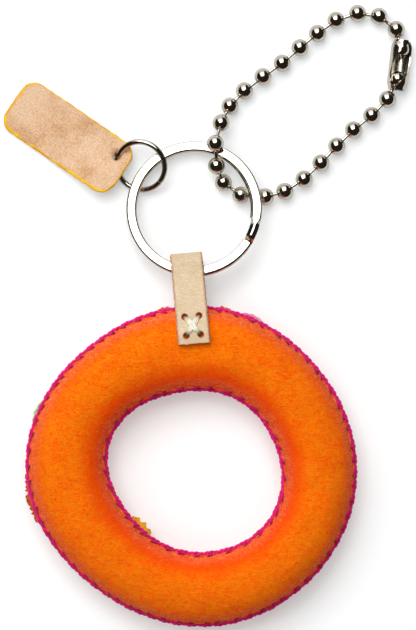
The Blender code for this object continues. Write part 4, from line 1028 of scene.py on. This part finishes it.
def tag_outline(count):
    """A rounded rectangle: points along and across the tag."""
    arcs = []
    for number, signs in enumerate(((1, 1), (-1, 1), (-1, -1), (1, -1))):
        turn = math.pi / 2 * number + np.linspace(0.0, math.pi / 2, 16)
        centre = np.array(signs) * (np.array(TAG_SIZE) / 2.0 - TAG_CORNER)
        arcs.append(centre + TAG_CORNER * np.column_stack([np.cos(turn), np.sin(turn)]))
    outline = np.concatenate([*arcs, arcs[0][:1]])
    return step_evenly(outline, count, to_end=False)


def build_tag():
    """The tag as a closed skin from its hole over the face, round its hand-cut painted edge and back underneath."""
    columns = 260
    outline = tag_outline(columns)
    outline[:, 0] -= TAG_STRETCH * smooth_step(0.5 - outline[:, 0] / TAG_SIZE[0])
    outer = TAG_CENTRE + outline[:, :1] * TAG_ALONG + outline[:, 1:] * TAG_ACROSS
    bearing = np.unwrap(np.arctan2(*(outer - TAG_HOLE).T[::-1]))
    even = bearing[0] + np.linspace(0.0, TAU, columns, endpoint=False)
    bearing = 0.5 * bearing + 0.5 * even
    slit = np.array([math.cos(TAG_HOLE_TURN), math.sin(TAG_HOLE_TURN)])
    beside = np.array([-slit[1], slit[0]])
    around = np.column_stack([np.cos(bearing - TAG_HOLE_TURN), np.sin(bearing - TAG_HOLE_TURN)]) * TAG_HOLE_SIZE
    inner = TAG_HOLE + around[:, :1] * slit + around[:, 1:] * beside
    outward = unit(outer - np.roll(outer, 1, axis=0))[:, ::-1] * (1.0, -1.0)
    uneven = lumps(np.column_stack([outer, 0.0 * bearing]), 3.0 * MM, 61)
    outer = outer + outward * (0.10 * MM * uneven - 0.10 * MM)[:, None]
    rounding = 0.28 * MM
    shares = np.linspace(0.0, 1.0, 34) ** 0.85
    face, under = (hole[None] + (outer - outward * rounding - hole)[None] * shares[:, None, None]
                   for hole in (inner, inner - TAG_HOLE_SLANT * slit))
    arc = np.linspace(0.0, math.pi, 9)[1:-1]
    side = (outer - outward * rounding)[None] + np.sin(arc)[:, None, None] * outward[None] * rounding
    half = TAG_THICKNESS / 2.0
    plans = np.concatenate([face, side, under[::-1]])
    over = np.concatenate([np.ones(34), np.cos(arc), -np.ones(34)])[:, None] * half
    surface = tag_height(plans)
    nap = 0.03 * MM * lumps(np.concatenate([plans, surface[..., None]], axis=-1), 1.5 * MM, 62)
    points = np.concatenate([plans, (surface + over + nap * np.sign(over))[..., None]], axis=-1)
    points[..., 2] = np.maximum(points[..., 2], 0.01 * MM)
    mesh = make_mesh("tag_leather", [skin(points[::-1], True, True)])
    here = mesh_points(mesh).reshape(points.shape)[::-1]
    rim_distance = np.linalg.norm(here[..., :2] - outer[None], axis=-1)
    offset = here[..., :2] - TAG_CENTRE
    along, across = offset @ TAG_ALONG, offset @ TAG_ACROSS
    splash = 0.46 * MM + 0.17 * MM * lumps(here, 2.6 * MM, 63) + 0.10 * MM * lumps(here, 0.8 * MM, 64)
    splash = splash + 0.16 * MM * smooth_step(-across / (6.0 * MM))
    for spot_along, spot_across, size in PAINT_SPOTS:
        near = np.hypot(along - spot_along * MM, across - spot_across * MM)
        splash = splash + 1.1 * MM * smooth_step(1.0 - near / (size * MM))
    paint = smooth_step((splash - rim_distance) / (0.10 * MM) + 0.5)
    # Painted shade in and around the slit, strongest at its walls
    from_hole = here[..., :2] - TAG_HOLE
    reach = np.hypot(from_hole @ slit / TAG_HOLE_SIZE[0], from_hole @ beside / TAG_HOLE_SIZE[1])
    hole_shade = 1.0 - smooth_step((reach - 1.05) / 0.35)
    set_attribute(mesh, "paint", paint[::-1].reshape(-1))
    set_attribute(mesh, "hole_shade", 0.7 * hole_shade[::-1].reshape(-1))
    make_piece("tag_leather", mesh, tag_leather, "leather_tag", ["leather_tag"], sharp=60.0)


build_tag()


# Table, lights and camera
def build_floor():
    """A pale matt table top, lifted to white for the camera where no shadow falls."""
    points = np.array([[[-2.0, -2.0, 0.0], [2.0, -2.0, 0.0]], [[-2.0, 2.0, 0.0], [2.0, 2.0, 0.0]]])
    mesh = make_mesh("table_top", [skin(points)])
    material, shader = new_material("matt_white_table", Roughness=0.9)
    shader.inputs["Base Color"].default_value = (0.69, 0.7, 0.7, 1.0)
    shader.inputs["Specular IOR Level"].default_value = 0.0
    shader.inputs["Emission Color"].default_value = (0.97, 1.0, 1.0, 1.0)
    rays = add_node(material, "ShaderNodeLightPath")
    lift = add_node(material, "ShaderNodeMath", {0: rays.outputs["Is Camera Ray"], 1: 0.33},
                    operation="MULTIPLY").outputs[0]
    material.node_tree.links.new(lift, shader.inputs["Emission Strength"])
    mesh.materials.append(material)
    floor = add_object("table_top", mesh)


def add_softbox(name, place, size, power, glossy):
    """A square area lamp aimed at the charm; place and size in metres, power in watts."""
    lamp = bpy.data.lights.new(name, "AREA")
    lamp.shape, lamp.size, lamp.energy = "SQUARE", size, power
    softbox = add_object(name, lamp)
    softbox.location = place
    softbox.rotation_euler = (-softbox.location).to_track_quat("-Z", "Y").to_euler()
    softbox.visible_camera = False
    softbox.visible_glossy = glossy


build_floor()
add_softbox("key_softbox", (-0.18, 0.55, 1.05), 0.85, 10.0, True)
add_softbox("back_reflector", (-0.3, 1.1, 0.75), 1.4, 6.0, True)
add_softbox("left_fill", (-1.1, 0.25, 0.9), 0.9, 4.2, False)
add_softbox("overhead_fill", (-0.3, 0.3, 1.5), 3.0, 12.0, False)
add_softbox("low_fill", (0.35, -1.0, 0.9), 0.9, 3.3, False)

# The faint warm light of the room
world = bpy.data.worlds.new("studio")
world.use_nodes = True
world.node_tree.nodes["Background"].inputs["Color"].default_value = (1.0, 0.86, 0.7, 1.0)
world.node_tree.nodes["Background"].inputs["Strength"].default_value = 0.02
bpy.context.scene.world = world

# The frame's 630 pixels of height are 0.238 mm each, measured 5 mm over the table
CAMERA_HEIGHT = 0.95
FRAME_LEVEL = 5.0 * MM
FRAME_HEIGHT = 630 * 0.238 * MM
camera = bpy.data.cameras.new("camera")
camera.sensor_width = 36.0
camera.lens = camera.sensor_width * (CAMERA_HEIGHT - FRAME_LEVEL) / FRAME_HEIGHT
camera.clip_start, camera.clip_end = 0.05, 20.0
viewpoint = add_object("camera", camera)
viewpoint.location = (-0.14 * MM, 0.0, CAMERA_HEIGHT)
bpy.context.scene.camera = viewpoint

bpy.context.scene.view_settings.view_transform = "Standard"
